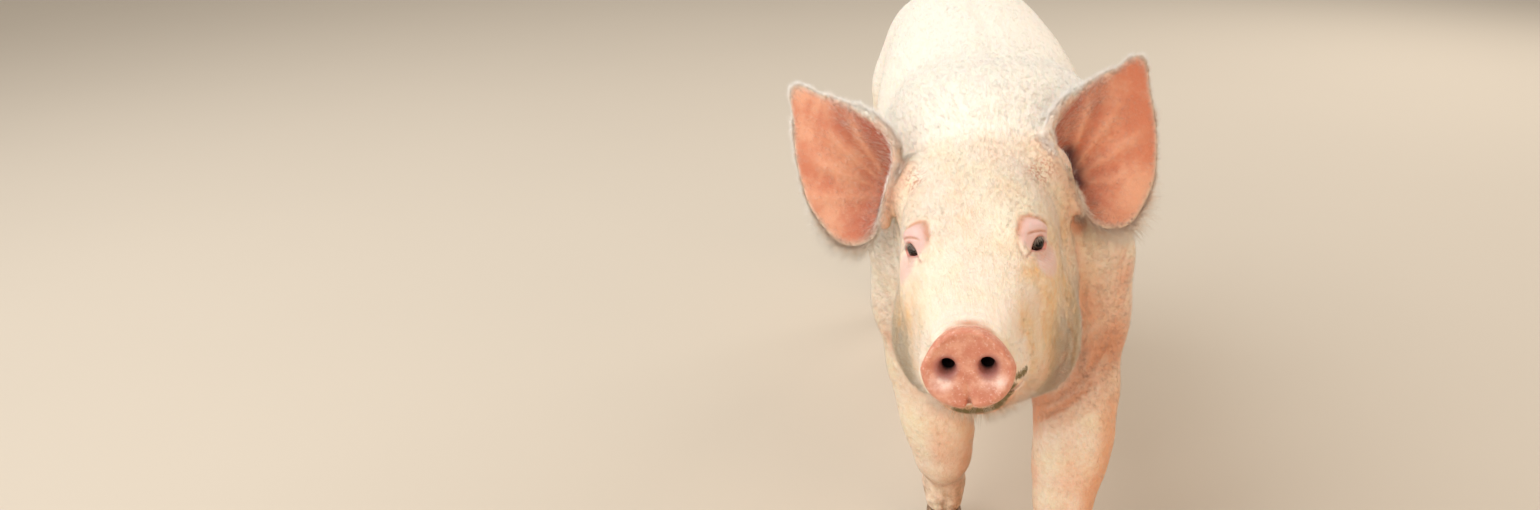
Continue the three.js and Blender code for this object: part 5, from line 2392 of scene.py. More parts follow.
@dataclass
class Hide:
    """The one skin of the whole animal."""

    pig: Pig
    bench: Bench
    finish: HideFinish = field(default_factory=HideFinish)
    flesh: tuple[str, ...] = (
        "head", "lower_jaw", "snout_disc", "ear_left", "ear_right", "neck", "shoulders", "barrel", "rump",
        "tail", "fore_left_upper", "fore_left_lower", "fore_right_upper", "fore_right_lower",
        "hind_left_upper", "hind_left_lower", "hind_right_upper", "hind_right_lower",
    )

    def net(self) -> Net:
        """Meshes the skin from its field."""
        axes = (
            spans((-216, 152, 4.4)),
            spans((-372, -52, 3.2), (-52, 28, 4), (28, 620, 8), (620, 740, 3)),
            spans((24, 40, 4), (40, 256, 6), (256, 564, 4.4)),
        )
        net = surface_net(self.pig.rough, axes).kept()
        LOG.info("skin: first net of %d points", len(net.points))
        net = net.settled(self.pig.rough, 3)
        for _ in range(3):
            net = net.refined(self.pig.grain)
        LOG.info("skin: refined to %d points", len(net.points))
        net = net.settled(self.pig.skin, 5)
        net = net.refined(self.pig.grain, 1.55).settled(self.pig.skin, 2)
        LOG.info("skin: %d points, %d faces", len(net.points), len(net.triangles))
        return net

    def build(self, net: Net, normals: Array) -> None:
        """Makes the skin's object and dresses it."""
        piece = self.bench.mesh("skin", net, self.pig.marks(net.points, normals))
        finish_piece(piece, Slot.HIDE, self.flesh, self.finish.material())


@dataclass
class Eyeball:
    """An eyeball with its cornea."""

    eye: Eye
    name: str
    bench: Bench
    rings: int = 40
    around: int = 56
    bulge: float = 1.3

    def build(self, material: Material) -> None:
        """Makes the eyeball and dresses it.

        Args:
            material: Its material.
        """
        angle = np.linspace(0, math.pi, self.rings + 1)[1:-1]
        radius = self.eye.radius + self.bulge * bump(angle, 0.62)
        ring = turned_rings(radius * np.sin(angle), radius * np.cos(angle), self.around)
        tip = np.array([[0, 0, self.eye.radius + self.bulge], [0, 0, -self.eye.radius]])
        local = np.concatenate([ring, tip])
        local[:, 0] *= self.eye.side
        net = Net(self.eye.frame.world(local), ring_faces(len(angle), self.around))
        if self.eye.side * np.linalg.det(self.eye.frame.basis) < 0:
            net.triangles = net.triangles[:, ::-1]
        angles = np.concatenate([np.repeat(angle, self.around), [0, math.pi]])
        piece = self.bench.mesh(self.name, net, {"gaze_angle": angles})
        finish_piece(piece, Slot.EYE, (self.name,), material)


def turned_rings(radius: Array, height: Array, around: int) -> Array:
    """Points on rings round the third axis, each ring with its own radius and height.

    Args:
        radius: Each ring's radius.
        height: Each ring's height.
        around: How many points a ring has.

    Returns:
        The points, ring after ring.
    """
    turn = np.linspace(0, 2 * math.pi, around, endpoint=False)
    across = [np.outer(radius, np.cos(turn)), np.outer(radius, np.sin(turn))]
    return np.stack([*across, np.outer(height, np.ones(around))], -1).reshape(-1, 3)


def ring_faces(rings: int, around: int) -> Array:
    """The faces of a closed stack of rings with a pole at each end, the first pole after all the rings.

    Args:
        rings: How many rings there are.
        around: How many points a ring has.

    Returns:
        Triples of point numbers.
    """
    i = np.arange(around)
    j = (i + 1) % around
    first, last = rings * around, rings * around + 1
    faces = [np.stack([np.full(around, first), i, j], 1)]
    for r in range(rings - 1):
        a, b = r * around, (r + 1) * around
        faces.append(np.stack([a + i, b + i, b + j], 1))
        faces.append(np.stack([a + i, b + j, a + j], 1))
    base = (rings - 1) * around
    faces.append(np.stack([base + i, np.full(around, last), base + j], 1))
    return np.concatenate(faces)


@dataclass
class Hooves:
    """The claws and dewclaws of one leg."""

    leg: Leg
    bench: Bench
    sole: Pair = (11, 24)
    top: Pair = (9.6, 18)
    inner_share: float = 0.8
    toe_taper: float = 0.3
    slope: float = 8
    cleft: float = 1.6
    around: int = 40
    dewclaw_spread: float = 13
    dewclaw_behind: float = 20
    dewclaw_up: float = -3
    dewclaw_radii: Triple = (7, 8, 11)
    dewclaw_rings: int = 16
    dewclaw_around: int = 28
    height: float = 31.4

    def claw(self, inner: int) -> Net:
        """One main claw: a flat sole, a sloping front wall and a flat side by the cleft.

        Args:
            inner: Its side of the leg's middle.

        Returns:
            Its closed net.
        """
        turn = np.linspace(0, 2 * math.pi, self.around, endpoint=False)
        shares = np.array([0, 0.04, 0.12, 0.24, 0.36, 0.48, 0.6, 0.72, 0.84, 0.93, 1.0, 1.04])
        shrink = np.array([0.93, 0.98, 1, 1, 1, 1, 1, 1, 1.01, 1.0, 0.93, 0.74])
        cx, cy = np.cos(turn), np.sin(turn)
        power = 2 / 2.5
        cx, cy = np.sign(cx) * np.abs(cx) ** power, np.sign(cy) * np.abs(cy) ** power
        forward = np.maximum(-cy, 0)
        flat = np.where(cx * inner < 0, self.inner_share, 1)
        x0, y0 = self.leg.hoof
        middle = x0 + inner * (self.cleft / 2 + self.sole[0] * self.inner_share)
        rows = []
        for t, small in zip(shares, shrink):
            wide = (self.sole[0] + (self.top[0] - self.sole[0]) * t) * small
            long = (self.sole[1] + (self.top[1] - self.sole[1]) * t) * small
            ridge = 1 + 0.008 * math.sin(t * 34)
            x = middle + cx * wide * (1 - self.toe_taper * forward**2) * flat * ridge
            y = y0 + self.slope * (t - 0.5) + cy * long * ridge
            z = np.full(self.around, t * self.height) + 1.2 * (t > 0.9) * cy
            rows.append(np.stack([x, y, np.maximum(z, 0)], 1))
        rows = rows[::-1]
        tips = np.array([rows[0].mean(0) + [0, 0, 0.6], [*rows[-1].mean(0)[:2], 0]])
        return outward(Net(np.concatenate([*rows, tips]), ring_faces(len(rows), self.around)))

    def dewclaw(self, inner: int) -> Net:
        """One dewclaw: a blunt cone that points back and down.

        Args:
            inner: Its side of the leg's middle.

        Returns:
            Its closed net.
        """
        fx, fy, fz, _ = self.leg.joints[-2]
        angle = np.linspace(0, math.pi, self.dewclaw_rings + 1)[1:-1]
        size = np.sin(angle) ** 0.8 * (1 + 0.12 * np.cos(angle))
        ring = turned_rings(size, np.cos(angle), self.dewclaw_around) * np.array(self.dewclaw_radii)
        end = self.dewclaw_radii[2]
        local = np.concatenate([ring, [[0, 0, end], [0, 0, -end]]])
        local[:, 1] += 0.18 * -np.minimum(local[:, 2], 0)
        centre = np.array([fx + inner * self.dewclaw_spread, fy + self.dewclaw_behind, fz + self.dewclaw_up])
        return outward(Net(local * 0.98 + centre, ring_faces(len(angle), self.dewclaw_around)))

    def build(self, material: Material) -> None:
        """Makes the four horn pieces and dresses them.

        Args:
            material: Its material.
        """
        for inner, edge in ((LEFT, "left"), (RIGHT, "right")):
            for kind, net in (("claw", self.claw(inner)), ("dewclaw", self.dewclaw(inner))):
                node = f"{self.leg.name}_{kind}_{edge}"
                piece = self.bench.mesh(f"{node}_horn", net)
                finish_piece(piece, Slot.HORN, (node,), material)


def outward(net: Net) -> Net:
    """A closed net turned so that its faces point outwards.

    Args:
        net: The net.

    Returns:
        The net, or one with its faces turned over.
    """
    c = net.corners()
    volume = np.einsum("ij,ij->i", c[:, 0], np.cross(c[:, 1], c[:, 2])).sum()
    return net if volume > 0 else Net(net.points, net.triangles[:, ::-1])


ROOT_ARRAYS = ("at", "up", "lie", "length", "width", "lift", "drop", "sway")


@dataclass
class Roots:
    """Places where tufts grow, and how each tuft grows there. Lengths are in millimetres."""

    at: Array
    up: Array
    lie: Array
    length: Array
    width: Array
    lift: Array
    drop: Array
    sway: Array
    marks: dict[str, Array]

    def part(self, keep: Array) -> "Roots":
        """The roots that are kept."""
        arrays = [getattr(self, name)[keep] for name in ROOT_ARRAYS]
        return Roots(*arrays, {name: value[keep] for name, value in self.marks.items()})


def together(groups: Sequence[Roots]) -> Roots:
    """Groups of roots joined into one."""
    arrays = [np.concatenate([getattr(g, name) for g in groups]) for name in ROOT_ARRAYS]
    return Roots(*arrays, {k: np.concatenate([g.marks[k] for g in groups]) for k in groups[0].marks})


class Zone(Enum):
    """The parts of the coat."""

    MUZZLE = "muzzle"
    FACE = "face"
    POLL = "poll"
    EAR_LEFT = "ear_left"
    EAR_RIGHT = "ear_right"
    NECK = "neck"
    BACK = "back"
    RUMP = "rump"
    FORELEGS = "forelegs"
    HIND_LEGS = "hind_legs"
    TAIL = "tail"


@dataclass
class TuftTree:
    """The node tree that grows one tuft of closed, tapering bristles on every root."""

    name: str
    segments: int = 1
    sides: int = 3
    patch: float = 0.003
    spikes: Table = (
        (0.0, 0.0, 0.5, 0.0, 1.0), (-0.4, 6.0, 2.0, 7.0, 0.86), (-0.6, -5.5, -2.0, -8.0, 0.72),
    )
    helpers: tuple[str, ...] = ("rise", "bend", "root_uv", "patch", "lie", "up", "size")

    def build(self, material: Material) -> bpy.types.NodeTree:
        """Makes the tree.

        Args:
            material: The bristles' material.

        Returns:
            The tree, with inputs for the segments and the patch's size.
        """
        tree = bpy.data.node_groups.new(self.name, "GeometryNodeTree")
        face = tree.interface
        face.new_socket("Geometry", in_out="OUTPUT", socket_type="NodeSocketGeometry")
        for name, kind in (("Geometry", "Geometry"), ("Segments", "Int"), ("Patch", "Float")):
            face.new_socket(name, in_out="INPUT", socket_type=f"NodeSocket{kind}")
        web = Web(tree)
        start = web.node("NodeGroupInput", out="Geometry")
        tuft = self._tuft(web, start.other("Segments"))
        grown = self._grow(web, start, tuft)
        grown = self._bend(web, grown)
        grown = self._bake_map(web, grown, start.other("Patch"))
        for name in self.helpers:
            grown = web.node("GeometryNodeRemoveAttribute", {}, {"Geometry": grown, "Name": name})
        grown = web.node("GeometryNodeSetShadeSmooth", {}, {"Geometry": grown})
        grown = web.node("GeometryNodeSetMaterial", {}, {"Geometry": grown, "Material": material})
        web.node("NodeGroupOutput", {}, {"Geometry": grown})
        return tree

    def _named(self, web: Web, name: str, kind: str = "FLOAT_VECTOR") -> Wire:
        """A named attribute's value."""
        return web.node("GeometryNodeInputNamedAttribute", {"data_type": kind}, {"Name": name})

    def _store(
        self, web: Web, geometry: Wire, name: str, value: Wire, kind: str, domain: str = "POINT"
    ) -> Wire:
        """Keeps a value on a geometry under a name."""
        values = {"Geometry": geometry, "Name": name, "Value": value}
        return web.node("GeometryNodeStoreNamedAttribute", {"data_type": kind, "domain": domain}, values)

    def _tuft(self, web: Web, segments: Wire) -> Wire:
        """The pattern tuft: spikes of height 1 and radius 1 that lean apart.

        Args:
            web: The node tree.
            segments: How many segments a bristle has.

        Returns:
            Its geometry.
        """
        made = []
        shape = {"Radius Top": 0.0, "Radius Bottom": 1.0, "Depth": 1.0}
        shape = {"Vertices": self.sides, "Side Segments": segments, **shape}
        for x, y, lean_x, lean_y, height in self.spikes:
            cone = web.node("GeometryNodeMeshCone", {"fill_type": "NGON"}, shape)
            grow = web.part("Z")
            cone = self._store(web, cone, "grow", grow, "FLOAT")
            moves = {0: grow * lean_x + x, 1: grow * lean_y + y, 2: grow * (height - 1)}
            offset = web.node("ShaderNodeCombineXYZ", {}, moves)
            made.append(web.node("GeometryNodeSetPosition", {}, {"Geometry": cone, "Offset": offset}))
        joined = web.tree.nodes.new("GeometryNodeJoinGeometry")
        for spike in made:
            web.tree.links.new(spike.socket, joined.inputs[0])
        spread = 2.2 * max(abs(v) for row in self.spikes for v in (row[0] + row[2], row[1] + row[3]))
        patch = web.node("ShaderNodeCombineXYZ", {}, {0: web.part("X") / spread + 0.5, 1: web.part("Z")})
        return self._store(web, Wire(web, joined.outputs[0]), "patch", patch, "FLOAT_VECTOR")

    def _grow(self, web: Web, points: Wire, tuft: Wire) -> Wire:
        """Puts a tuft on every root, turned along its lie.

        Args:
            web: The node tree.
            points: The roots.
            tuft: The pattern tuft.

        Returns:
            The bristles.
        """
        axes = {0: self._named(web, "lie"), 1: self._named(web, "up")}
        turn = web.node("FunctionNodeAxesToRotation", {"primary_axis": "Z", "secondary_axis": "X"}, axes)
        values = {"Points": points, "Instance": tuft, "Rotation": turn, "Scale": self._named(web, "size")}
        placed = web.node("GeometryNodeInstanceOnPoints", {}, values)
        return web.node("GeometryNodeRealizeInstances", {}, {"Geometry": placed})

    def _bend(self, web: Web, grown: Wire) -> Wire:
        """Lifts the bristles off the skin and bends them back to it.

        Args:
            web: The node tree.
            grown: The bristles.

        Returns:
            The bent bristles.
        """
        grow = self._named(web, "grow", "FLOAT")
        rise = web.vector("SCALE", self._named(web, "rise"), grow)
        bend = web.vector("SCALE", self._named(web, "bend"), grow * grow)
        offset = web.vector("ADD", rise, bend)
        return web.node("GeometryNodeSetPosition", {}, {"Geometry": grown, "Offset": offset})

    def _bake_map(self, web: Web, grown: Wire, patch: Wire) -> Wire:
        """Gives each tuft its own small patch of the map, at its root's place.

        Args:
            web: The node tree.
            grown: The bristles.
            patch: The patches' size.

        Returns:
            The bristles with their map.
        """
        local = web.vector("SUBTRACT", self._named(web, "patch"), (0.5, 0.5, 0.0))
        place = web.vector("ADD", web.vector("SCALE", local, patch), self._named(web, "root_uv"))
        return self._store(web, grown, "OFBake", place, "FLOAT2", "CORNER")

    def apply(self, tree: bpy.types.NodeTree, points: Object) -> None:
        """Runs the tree on a points object and keeps the result as its plain mesh.

        Args:
            tree: The tree.
            points: The object with the roots.
        """
        modifier = points.modifiers.new("tufts", "NODES")
        modifier.node_group = tree
        sizes = {"Segments": self.segments, "Patch": self.patch}
        for item in tree.interface.items_tree:
            if item.in_out == "INPUT" and item.name in sizes:
                modifier[item.identifier] = sizes[item.name]
        graph = bpy.context.evaluated_depsgraph_get()
        mesh = bpy.data.meshes.new_from_object(points.evaluated_get(graph), depsgraph=graph)
        points.modifiers.remove(modifier)
        old, points.data = points.data, mesh
        bpy.data.meshes.remove(old)
        mesh.name = points.name


@dataclass
class Coat:
    """The bristles over the whole skin, with lashes, whiskers, ear fringes and the tail's tuft."""

    pig: Pig
    bench: Bench
    net: Net
    normals: Array
    finish: CoatFinish = field(default_factory=CoatFinish)
    seed: int = 11
    most: int = 15500
    thick: float = 2.25
    hoof_top: float = 33
    specials: tuple[tuple[str, float, Ball], ...] = (
        ("chin", 0.13, (13, 0.12, 0.9, 0.2)),
        ("muzzle", 0.05, (11, 0.11, 0.9, 0.15)),
        ("brow", 0.05, (11, 0.11, 0.9, 0.2)),
        ("ridge", 0.06, (15, 0.11, 0.3, 0.2)),
        ("tuft", 1.0, (30, 0.2, 0.25, 0.1)),
        ("tuft", 1.0, (22, 0.2, 0.35, 0.1)),
    )
    kept_marks: tuple[str, ...] = (
        "blush", "chalk", "grime", "rust", "mud", "soil", "crease", "ear_in", "canal",
    )

    def __post_init__(self) -> None:
        """Starts the random draws."""
        self.rng = np.random.default_rng(self.seed)

    def growth(self, p: Array, normal: Array, marks: dict[str, Array]) -> dict[str, Array]:
        """How the coat grows at places on the skin.

        Args:
            p: The places.
            normal: The skin's outward directions there.
            marks: What is known of the skin there.

        Returns:
            The tufts for each square centimetre, and their length, width, lift and drop.
        """
        q = self.pig.head.frame.local(p)
        _, s, z = q.T
        on_head = self.pig.on_head(p, q)
        front = 1 - step(p[:, 1], 60, 190)
        under = step(-normal[:, 2], 0.3, 0.8)
        low = 1 - step(p[:, 2], 190, 270)
        jowl = (1 - step(z, -50, 10)) * step(s, 90, 160)
        dense = blend((2.0 + 3.6 * front) * (1 - 0.5 * under), 2.8 + 2.0 * front, low)
        length = blend(12.5 - 4 * under, 6.5, low)
        width = blend(0.11, 0.10, low)
        lift = 0.20 + 0.08 * under
        drop = np.full(len(p), 0.14)
        dense = blend(dense, 19 - 7 * step(s, 150, 260), on_head)
        length = blend(length, 2.0 + 2.8 * step(s, 20, 90) + 2.2 * step(s, 130, 260) + 4.0 * jowl, on_head)
        width = blend(width, 0.075 + 0.03 * step(s, 60, 200) + 0.10 * jowl, on_head)
        lift = blend(lift, 0.24 + 0.12 * jowl, on_head)
        lids = np.clip(marks["lid"] * 1.3, 0, 1)
        dense = dense * (1 - 0.85 * lids)
        length = length * (1 - 0.45 * lids)
        for ear in self.pig.ears:
            e, close, share, height = ear.survey(p)
            inside = close & (height > 0)
            nearby = inside & (ear.from_roll(e) < 26)
            behind = close & (height <= 0) & (share < 1.05)
            edge = bump(share - 1, 0.10) * close
            lobe = step(e[:, 1], 42, 72) * (1 - step(e[:, 0], 30, 78)) * step(share, 0.72, 0.92)
            long = lobe * close * (height < 1.0)
            dense = np.where(nearby, 9.0, np.where(behind, 7.0, np.where(inside, 3.4, dense)))
            within_ear = np.where(nearby, 8.0, 3.4 + 3.0 * (1 - step(share, 0.25, 0.7)))
            length = np.where(behind, 6.0, np.where(inside, within_ear, length))
            width = np.where(close, 0.075, width)
            lift = np.where(behind, 0.35, np.where(inside, 0.5, lift))
            dense = dense + 26 * edge + 5 * long
            length = blend(blend(length, 7.5 + 2.0 * self.pig.fine.at(p), edge), 22, long)
            width = blend(blend(width, 0.125, edge), 0.15, long)
            drop = np.where(long > 0.3, 0.1, drop)
        on_tail = p[:, 1] > TAIL_Y
        dense = np.where(on_tail, 11.0, dense)
        length = np.where(on_tail, 9.0, length)
        bare = marks["disc"] * 1.6 + marks["hole"] + 0.7 * marks["canal"]
        bare = np.clip(bare + marks["lid_edge"] * 1.2 + marks["corner"] + marks["lips"], 0, 1)
        dense = dense * (1 - bare) * (p[:, 2] > self.hoof_top)
        return {"dense": dense, "length": length, "width": width, "lift": lift, "drop": drop}

    def scattered(self) -> Roots:
        """Roots spread over the whole skin as densely as the coat grows."""
        corners = self.net.corners()
        cross = np.cross(corners[:, 1] - corners[:, 0], corners[:, 2] - corners[:, 0])
        area = np.linalg.norm(cross, axis=1) / 2
        middle = corners.mean(1)
        facing = unit(cross)
        dense = self.thick * self.growth(middle, facing, self.pig.marks(middle, facing))["dense"]
        total = np.cumsum(area / 100 * dense)
        count = int(total[-1])
        pick = np.minimum(np.searchsorted(total, np.arange(count) + self.rng.random(count)), len(area) - 1)
        a, b = self.rng.random(count), self.rng.random(count)
        over = a + b > 1
        a, b = np.where(over, 1 - a, a), np.where(over, 1 - b, b)
        weights = np.stack([1 - a - b, a, b], 1)[..., None]
        at = (corners[pick] * weights).sum(1)
        up = unit((self.normals[self.net.triangles[pick]] * weights).sum(1))
        marks = self.pig.marks(at, up)
        grown = self.growth(at, up, marks)
        vary = self.rng.uniform(0.72, 1.22, count)
        return Roots(
            at - 0.25 * up,
            up,
            self.pig.lie(at, up),
            grown["length"] * vary,
            grown["width"] * self.rng.uniform(0.85, 1.15, count),
            grown["lift"] * self.rng.uniform(0.6, 1.45, count),
            grown["drop"] * self.rng.uniform(0.7, 1.3, count),
            self.rng.normal(0, 0.13, count),
            {name: marks[name] for name in self.kept_marks},
        )

    def lashes(self, eye: Eye) -> Roots:
        """The pale lashes of an eye's upper lid.

        Args:
            eye: The eye.

        Returns:
            Their roots.
        """
        count = 22
        x = np.linspace(-7.5, 8.5, count) + self.rng.uniform(-0.3, 0.3, count)
        r = eye.radius + eye.lid + 0.1
        top, rise, _, _ = eye.arch
        y = top - rise * (x / eye.opening[0]) ** 2 + 0.8 + 0.6 * (np.arange(count) % 2)
        local = np.stack([x, y, np.sqrt(np.maximum(r * r - x * x - y * y, 0))], 1)
        lie = unit(np.stack([0.035 * x, np.full(count, -0.35), np.ones(count)], 1))
        up = unit(np.stack([0 * x, np.ones(count), np.full(count, 0.35)], 1))
        ones = np.ones(count)
        frame = eye.frame
        return Roots(
            frame.world(local),
            frame.turn(up),
            frame.turn(lie),
            6.5 + self.rng.uniform(-1, 1, count),
            0.13 * ones,
            0.05 * ones,
            0.75 * ones + self.rng.uniform(-0.15, 0.15, count),
            self.rng.normal(0, 0.08, count),
            {name: 0 * ones for name in self.kept_marks},
        )

    def special(self, base: Roots, keep: Array, share: float, change: Ball) -> Roots:
        """Longer or stiffer bristles on a share of chosen roots.

        Args:
            base: The roots that they are copied from.
            keep: Which of those roots may carry them.
            share: The share of those that do.
            change: The new length, width, lift and drop.

        Returns:
            The new roots.
        """
        found = base.part(keep & (self.rng.random(len(keep)) < share))
        for name, value in zip(("length", "width", "lift", "drop"), change):
            setattr(found, name, value * self.rng.uniform(0.75, 1.25, len(found.length)))
        return found

    def roots(self) -> Roots:
        """All the roots of the coat."""
        base = self.scattered()
        x, s, z = self.pig.head.frame.local(base.at).T
        wide, y, tall = np.abs(base.at[:, 0]), base.at[:, 1], base.at[:, 2]
        x = np.abs(x)
        places = {
            "chin": (z < -34) & (s < 95) & (s > 14) & (z > -120),
            "muzzle": (x > 18) & (s > 16) & (s < 80) & (z > -34) & (z < 14),
            "brow": (x > 24) & (s > 135) & (s < 178) & (z > 56),
            "ridge": (tall > 500) & (y > 240) & (y < 560) & (wide < 40),
            "tuft": (y > TAIL_Y) & (self.pig.tail.nearest(base.at, y > TAIL_Y) > 0.72 * self.pig.tail.pieces),
        }
        found = [self.special(base, places[name], share, change) for name, share, change in self.specials]
        return together([base, *found, *(self.lashes(eye) for eye in self.pig.eyes)])

    def zones(self, p: Array) -> Array:
        """The number of each place's zone.

        Args:
            p: The points.

        Returns:
            One number for each place.
        """
        _, s, z = self.pig.head.frame.local(p).T
        y, low = p[:, 1], p[:, 2] < LEG_Z
        head = (s < 300) & (z > -140) & (p[:, 2] > 230)
        order = list(Zone)
        out = np.full(len(p), order.index(Zone.BACK))
        for zone, keep in (
            (Zone.NECK, y < 110),
            (Zone.RUMP, y > 420),
            (Zone.FORELEGS, low & (y < 150)),
            (Zone.HIND_LEGS, low & (y > 400)),
            (Zone.TAIL, y > TAIL_Y),
            (Zone.POLL, head),
            (Zone.FACE, head & (s < 185)),
            (Zone.MUZZLE, head & (s < 90)),
        ):
            out[keep] = order.index(zone)
        for ear, zone in zip(self.pig.ears, (Zone.EAR_LEFT, Zone.EAR_RIGHT)):
            _, close, _, height = ear.survey(p)
            out[close & (np.abs(height) < 8)] = order.index(zone)
        return out

    def unwrap(self, zone: Zone, p: Array) -> Array:
        """Places on an unwrap of the skin: a turn round the zone's own axis, and a distance along it.

        Args:
            zone: The zone.
            p: The places.

        Returns:
            Pairs from 0 to 1.
        """
        x, s, z = self.pig.head.frame.local(p).T
        if zone in (Zone.MUZZLE, Zone.FACE, Zone.POLL):
            u, v = np.arctan2(x, z - 10) / math.pi, s
        elif zone in (Zone.EAR_LEFT, Zone.EAR_RIGHT):
            q, _, _, height = self.pig.ears[0 if zone is Zone.EAR_LEFT else 1].survey(p)
            u, v = np.clip((q[:, 0] + 60) / 240, 0, 0.98) + (height > 0), q[:, 1]
        elif zone in (Zone.FORELEGS, Zone.HIND_LEGS):
            side = p[:, 0] > 0
            sides = [p[:, 1][side == k] for k in (False, True)]
            centre = np.array([np.median(y) if len(y) else 0 for y in sides])
            turn = np.arctan2(np.abs(p[:, 0]) - 64, p[:, 1] - centre[side.astype(int)])
            u, v = turn / math.pi / 2 * 0.98 + side, p[:, 2]
        elif zone is Zone.TAIL:
            u, v = np.arctan2(p[:, 0] - 12, p[:, 2] - 490), p[:, 1]
        else:
            u, v = np.arctan2(p[:, 0], p[:, 2] - 400) / math.pi, p[:, 1]
        pair = np.stack([u, v], 1)
        low, high = pair.min(0), pair.max(0)
        return 0.01 + 0.98 * (pair - low) / (high - low + TINY)

    def build(self) -> None:
        """Grows every piece of the coat."""
        material = self.finish.material()
        grower = TuftTree("tufts")
        tree = grower.build(material)
        roots = self.roots()
        zone = self.zones(roots.at)
        LOG.info("coat: %d tufts", len(zone))
        for number, name in enumerate(Zone):
            found = np.flatnonzero(zone == number)
            if not len(found):
                continue
            place = self.unwrap(name, roots.at[found])
            parts = math.ceil(len(found) / self.most)
            order = np.argsort(place[:, 1], kind="stable")
            for i, share in enumerate(np.array_split(order, parts)):
                label = f"coat_{name.value}" + (f"_{i + 1}" if parts > 1 else "")
                piece = self._piece(label, roots.part(found[share]), place[share])
                grower.apply(tree, piece)
                finish_piece(piece, Slot.HIDE, (), material)

    def _piece(self, name: str, roots: Roots, place: Array) -> Object:
        """One piece's roots as points that keep how their tufts grow, and their places on the map.

        Args:
            name: Its name.
            roots: Its roots.
            place: Their places on the map.

        Returns:
            The points as an object.
        """
        count = len(roots.length)
        long = (roots.length * MM)[:, None]
        side = np.cross(roots.up, roots.lie)
        values = {
            "lie": roots.lie,
            "up": roots.up,
            "size": np.stack([roots.width, roots.width, roots.length], 1) * MM,
            "rise": roots.up * long * roots.lift[:, None],
            "bend": (side * roots.sway[:, None] - roots.up * roots.drop[:, None]) * long,
            "root_uv": np.concatenate([place, np.zeros((count, 1))], 1),
            "tone": self.rng.random(count),
            **roots.marks,
        }
        return self.bench.mesh(name, Net(roots.at, np.zeros((0, 3), int)), values)


@dataclass(frozen=True)
class Lamp:
    """One square area light that faces a target."""

    name: str
    place: Triple
    target: Triple
    size: float
    power: float
    colour: Colour

    def build(self) -> None:
        """Makes the light."""
        light = bpy.data.lights.new(self.name, "AREA")
        light.size, light.energy, light.color = self.size, self.power, self.colour
        made = bpy.data.objects.new(self.name, light)
        made.location = self.place
        z = unit(np.array(self.place) - np.array(self.target))
        x = unit(np.cross([0, 0, 1.0], z))
        made.rotation_euler = matrix(x, np.cross(z, x), z).to_euler()
        bpy.context.scene.collection.objects.link(made)


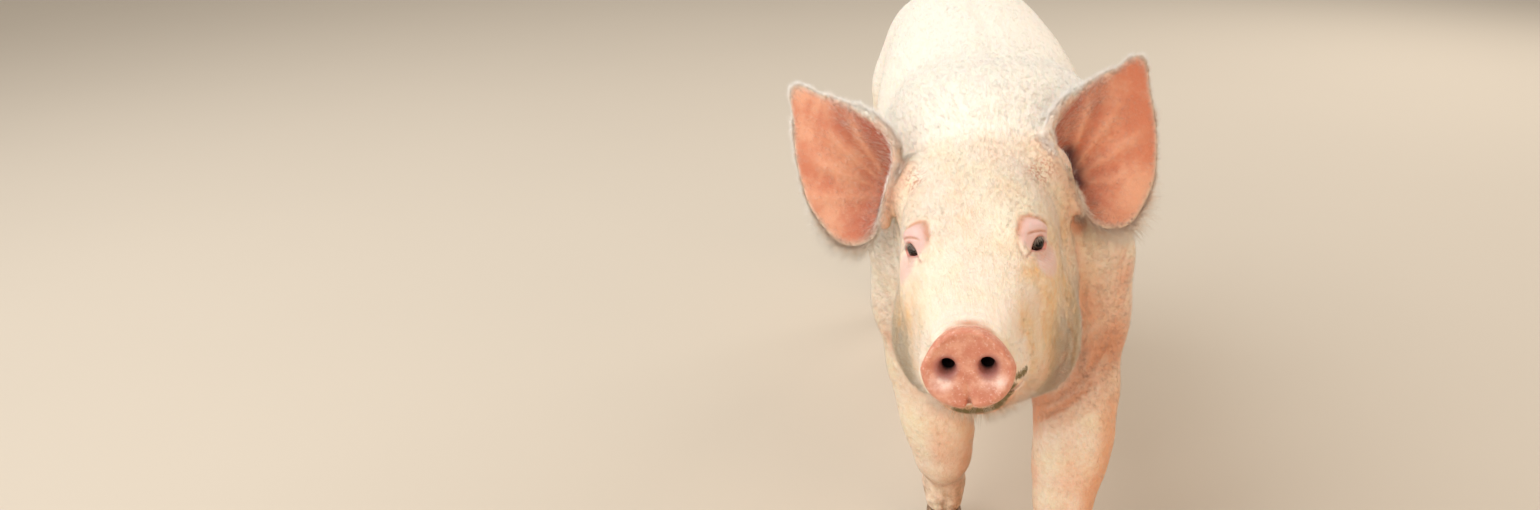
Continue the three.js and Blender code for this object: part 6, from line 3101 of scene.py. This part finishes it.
@dataclass
class Studio:
    """The floor, the light and the camera."""

    bench: Bench
    finish: FloorFinish = field(default_factory=FloorFinish)
    lamps: tuple[Lamp, ...] = (
        Lamp("sky", (-1.7, 0.3, 3.1), (0, 0.1, 0.35), 2.8, 76.0, (1.0, 0.99, 0.97)),
        Lamp("front", (-2.2, -2.8, 1.5), (0, -0.1, 0.35), 2.4, 54.0, (1.0, 0.95, 0.87)),
        Lamp("rim", (1.8, 2.2, 1.6), (0, 0, 0.4), 1.4, 24.0, (1.0, 0.93, 0.84)),
        Lamp("bounce", (2.4, -2.4, 1.1), (0, -0.3, 0.45), 1.8, 30.0, (1.0, 0.70, 0.45)),
    )
    surroundings: Ball = (1.0, 0.91, 0.80, 1.0)
    surroundings_power: float = 0.55
    clip: Pair = (0.02, 60)
    eye: Triple = (-131, -1064, 808)
    heading: float = math.radians(-5.475)
    dip: float = math.radians(23.17)
    lean: float = math.radians(-2.44)
    focal_pixels: float = 1130
    picture: tuple[int, int] = (1540, 510)
    sensor: float = 36

    def build(self) -> None:
        """Makes the floor, the lights, the surroundings and the camera."""
        bpy.context.scene.view_settings.view_transform = "Standard"
        self._floor()
        self._lights()
        self._camera()

    def _floor(self) -> None:
        """A wide closed slab whose top is the ground."""
        wide, deep = 30.0, 0.05
        data = bpy.data.meshes.new("studio_floor")
        corners = [(x * wide, y * wide, z) for z in (-deep, 0.0) for y in (-1, 1) for x in (-1, 1)]
        faces = [(0, 2, 3, 1), (4, 5, 7, 6), (0, 1, 5, 4), (2, 6, 7, 3), (0, 4, 6, 2), (1, 3, 7, 5)]
        data.from_pydata(corners, [], faces)
        floor = bpy.data.objects.new("studio_floor", data)
        bpy.context.scene.collection.objects.link(floor)
        data.materials.append(self.finish.material())

    def _lights(self) -> None:
        """A soft sky from above and behind, a wide fill from the front, and pale surroundings."""
        for lamp in self.lamps:
            lamp.build()
        world = bpy.data.worlds.new("studio_world")
        world.use_nodes = True
        back = world.node_tree.nodes["Background"]
        back.inputs["Color"].default_value = self.surroundings
        back.inputs["Strength"].default_value = self.surroundings_power
        bpy.context.scene.world = world

    def _camera(self) -> None:
        """The camera at the standing height of someone before the animal."""
        h, p, r = self.heading, self.dip, self.lean
        ahead = np.array([math.sin(h) * math.cos(p), math.cos(h) * math.cos(p), -math.sin(p)])
        right = np.array([math.cos(h), -math.sin(h), 0])
        up = np.cross(right, ahead)
        right, up = right * math.cos(r) + up * math.sin(r), up * math.cos(r) - right * math.sin(r)
        lens = bpy.data.cameras.new("camera")
        lens.sensor_fit, lens.sensor_width = "HORIZONTAL", self.sensor
        lens.lens = self.focal_pixels * self.sensor / self.picture[0]
        lens.clip_start, lens.clip_end = self.clip
        camera = bpy.data.objects.new("camera", lens)
        camera.location = self.bench.place(np.array(self.eye))
        camera.rotation_euler = matrix(right, up, -ahead).to_euler()
        bpy.context.scene.collection.objects.link(camera)
        bpy.context.scene.camera = camera


def matrix(x: Array, y: Array, z: Array) -> Matrix:
    """A turning matrix from its three columns."""
    return Matrix(np.stack([x, y, z], 1).tolist())


def find_bench(head: Head) -> Bench:
    """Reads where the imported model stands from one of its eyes.

    Args:
        head: The head.

    Returns:
        The bench.
    """
    low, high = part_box("eye_left")
    centre = (np.array(low) + np.array(high)) / 2 / MM
    return Bench(centre - head.spot(*EYE_AT))


def main() -> None:
    """Builds every piece."""
    logging.basicConfig(level=logging.INFO, format="%(name)s: %(message)s")
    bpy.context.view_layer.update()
    pig = Pig()
    bench = find_bench(pig.head)
    LOG.info("the body's frame is shifted by %s mm", np.round(bench.shift, 3))
    hide = Hide(pig, bench)
    net = hide.net()
    normals = net.normals()
    hide.build(net, normals)
    Coat(pig, bench, net, normals).build()
    wet = EyeFinish().material()
    for eye, name in zip(pig.eyes, ("eye_left", "eye_right")):
        Eyeball(eye, name, bench).build(wet)
    horn = HornFinish().material()
    for leg in pig.legs:
        Hooves(leg, bench).build(horn)
    Studio(bench).build()


if __name__ == "__main__":
    main()
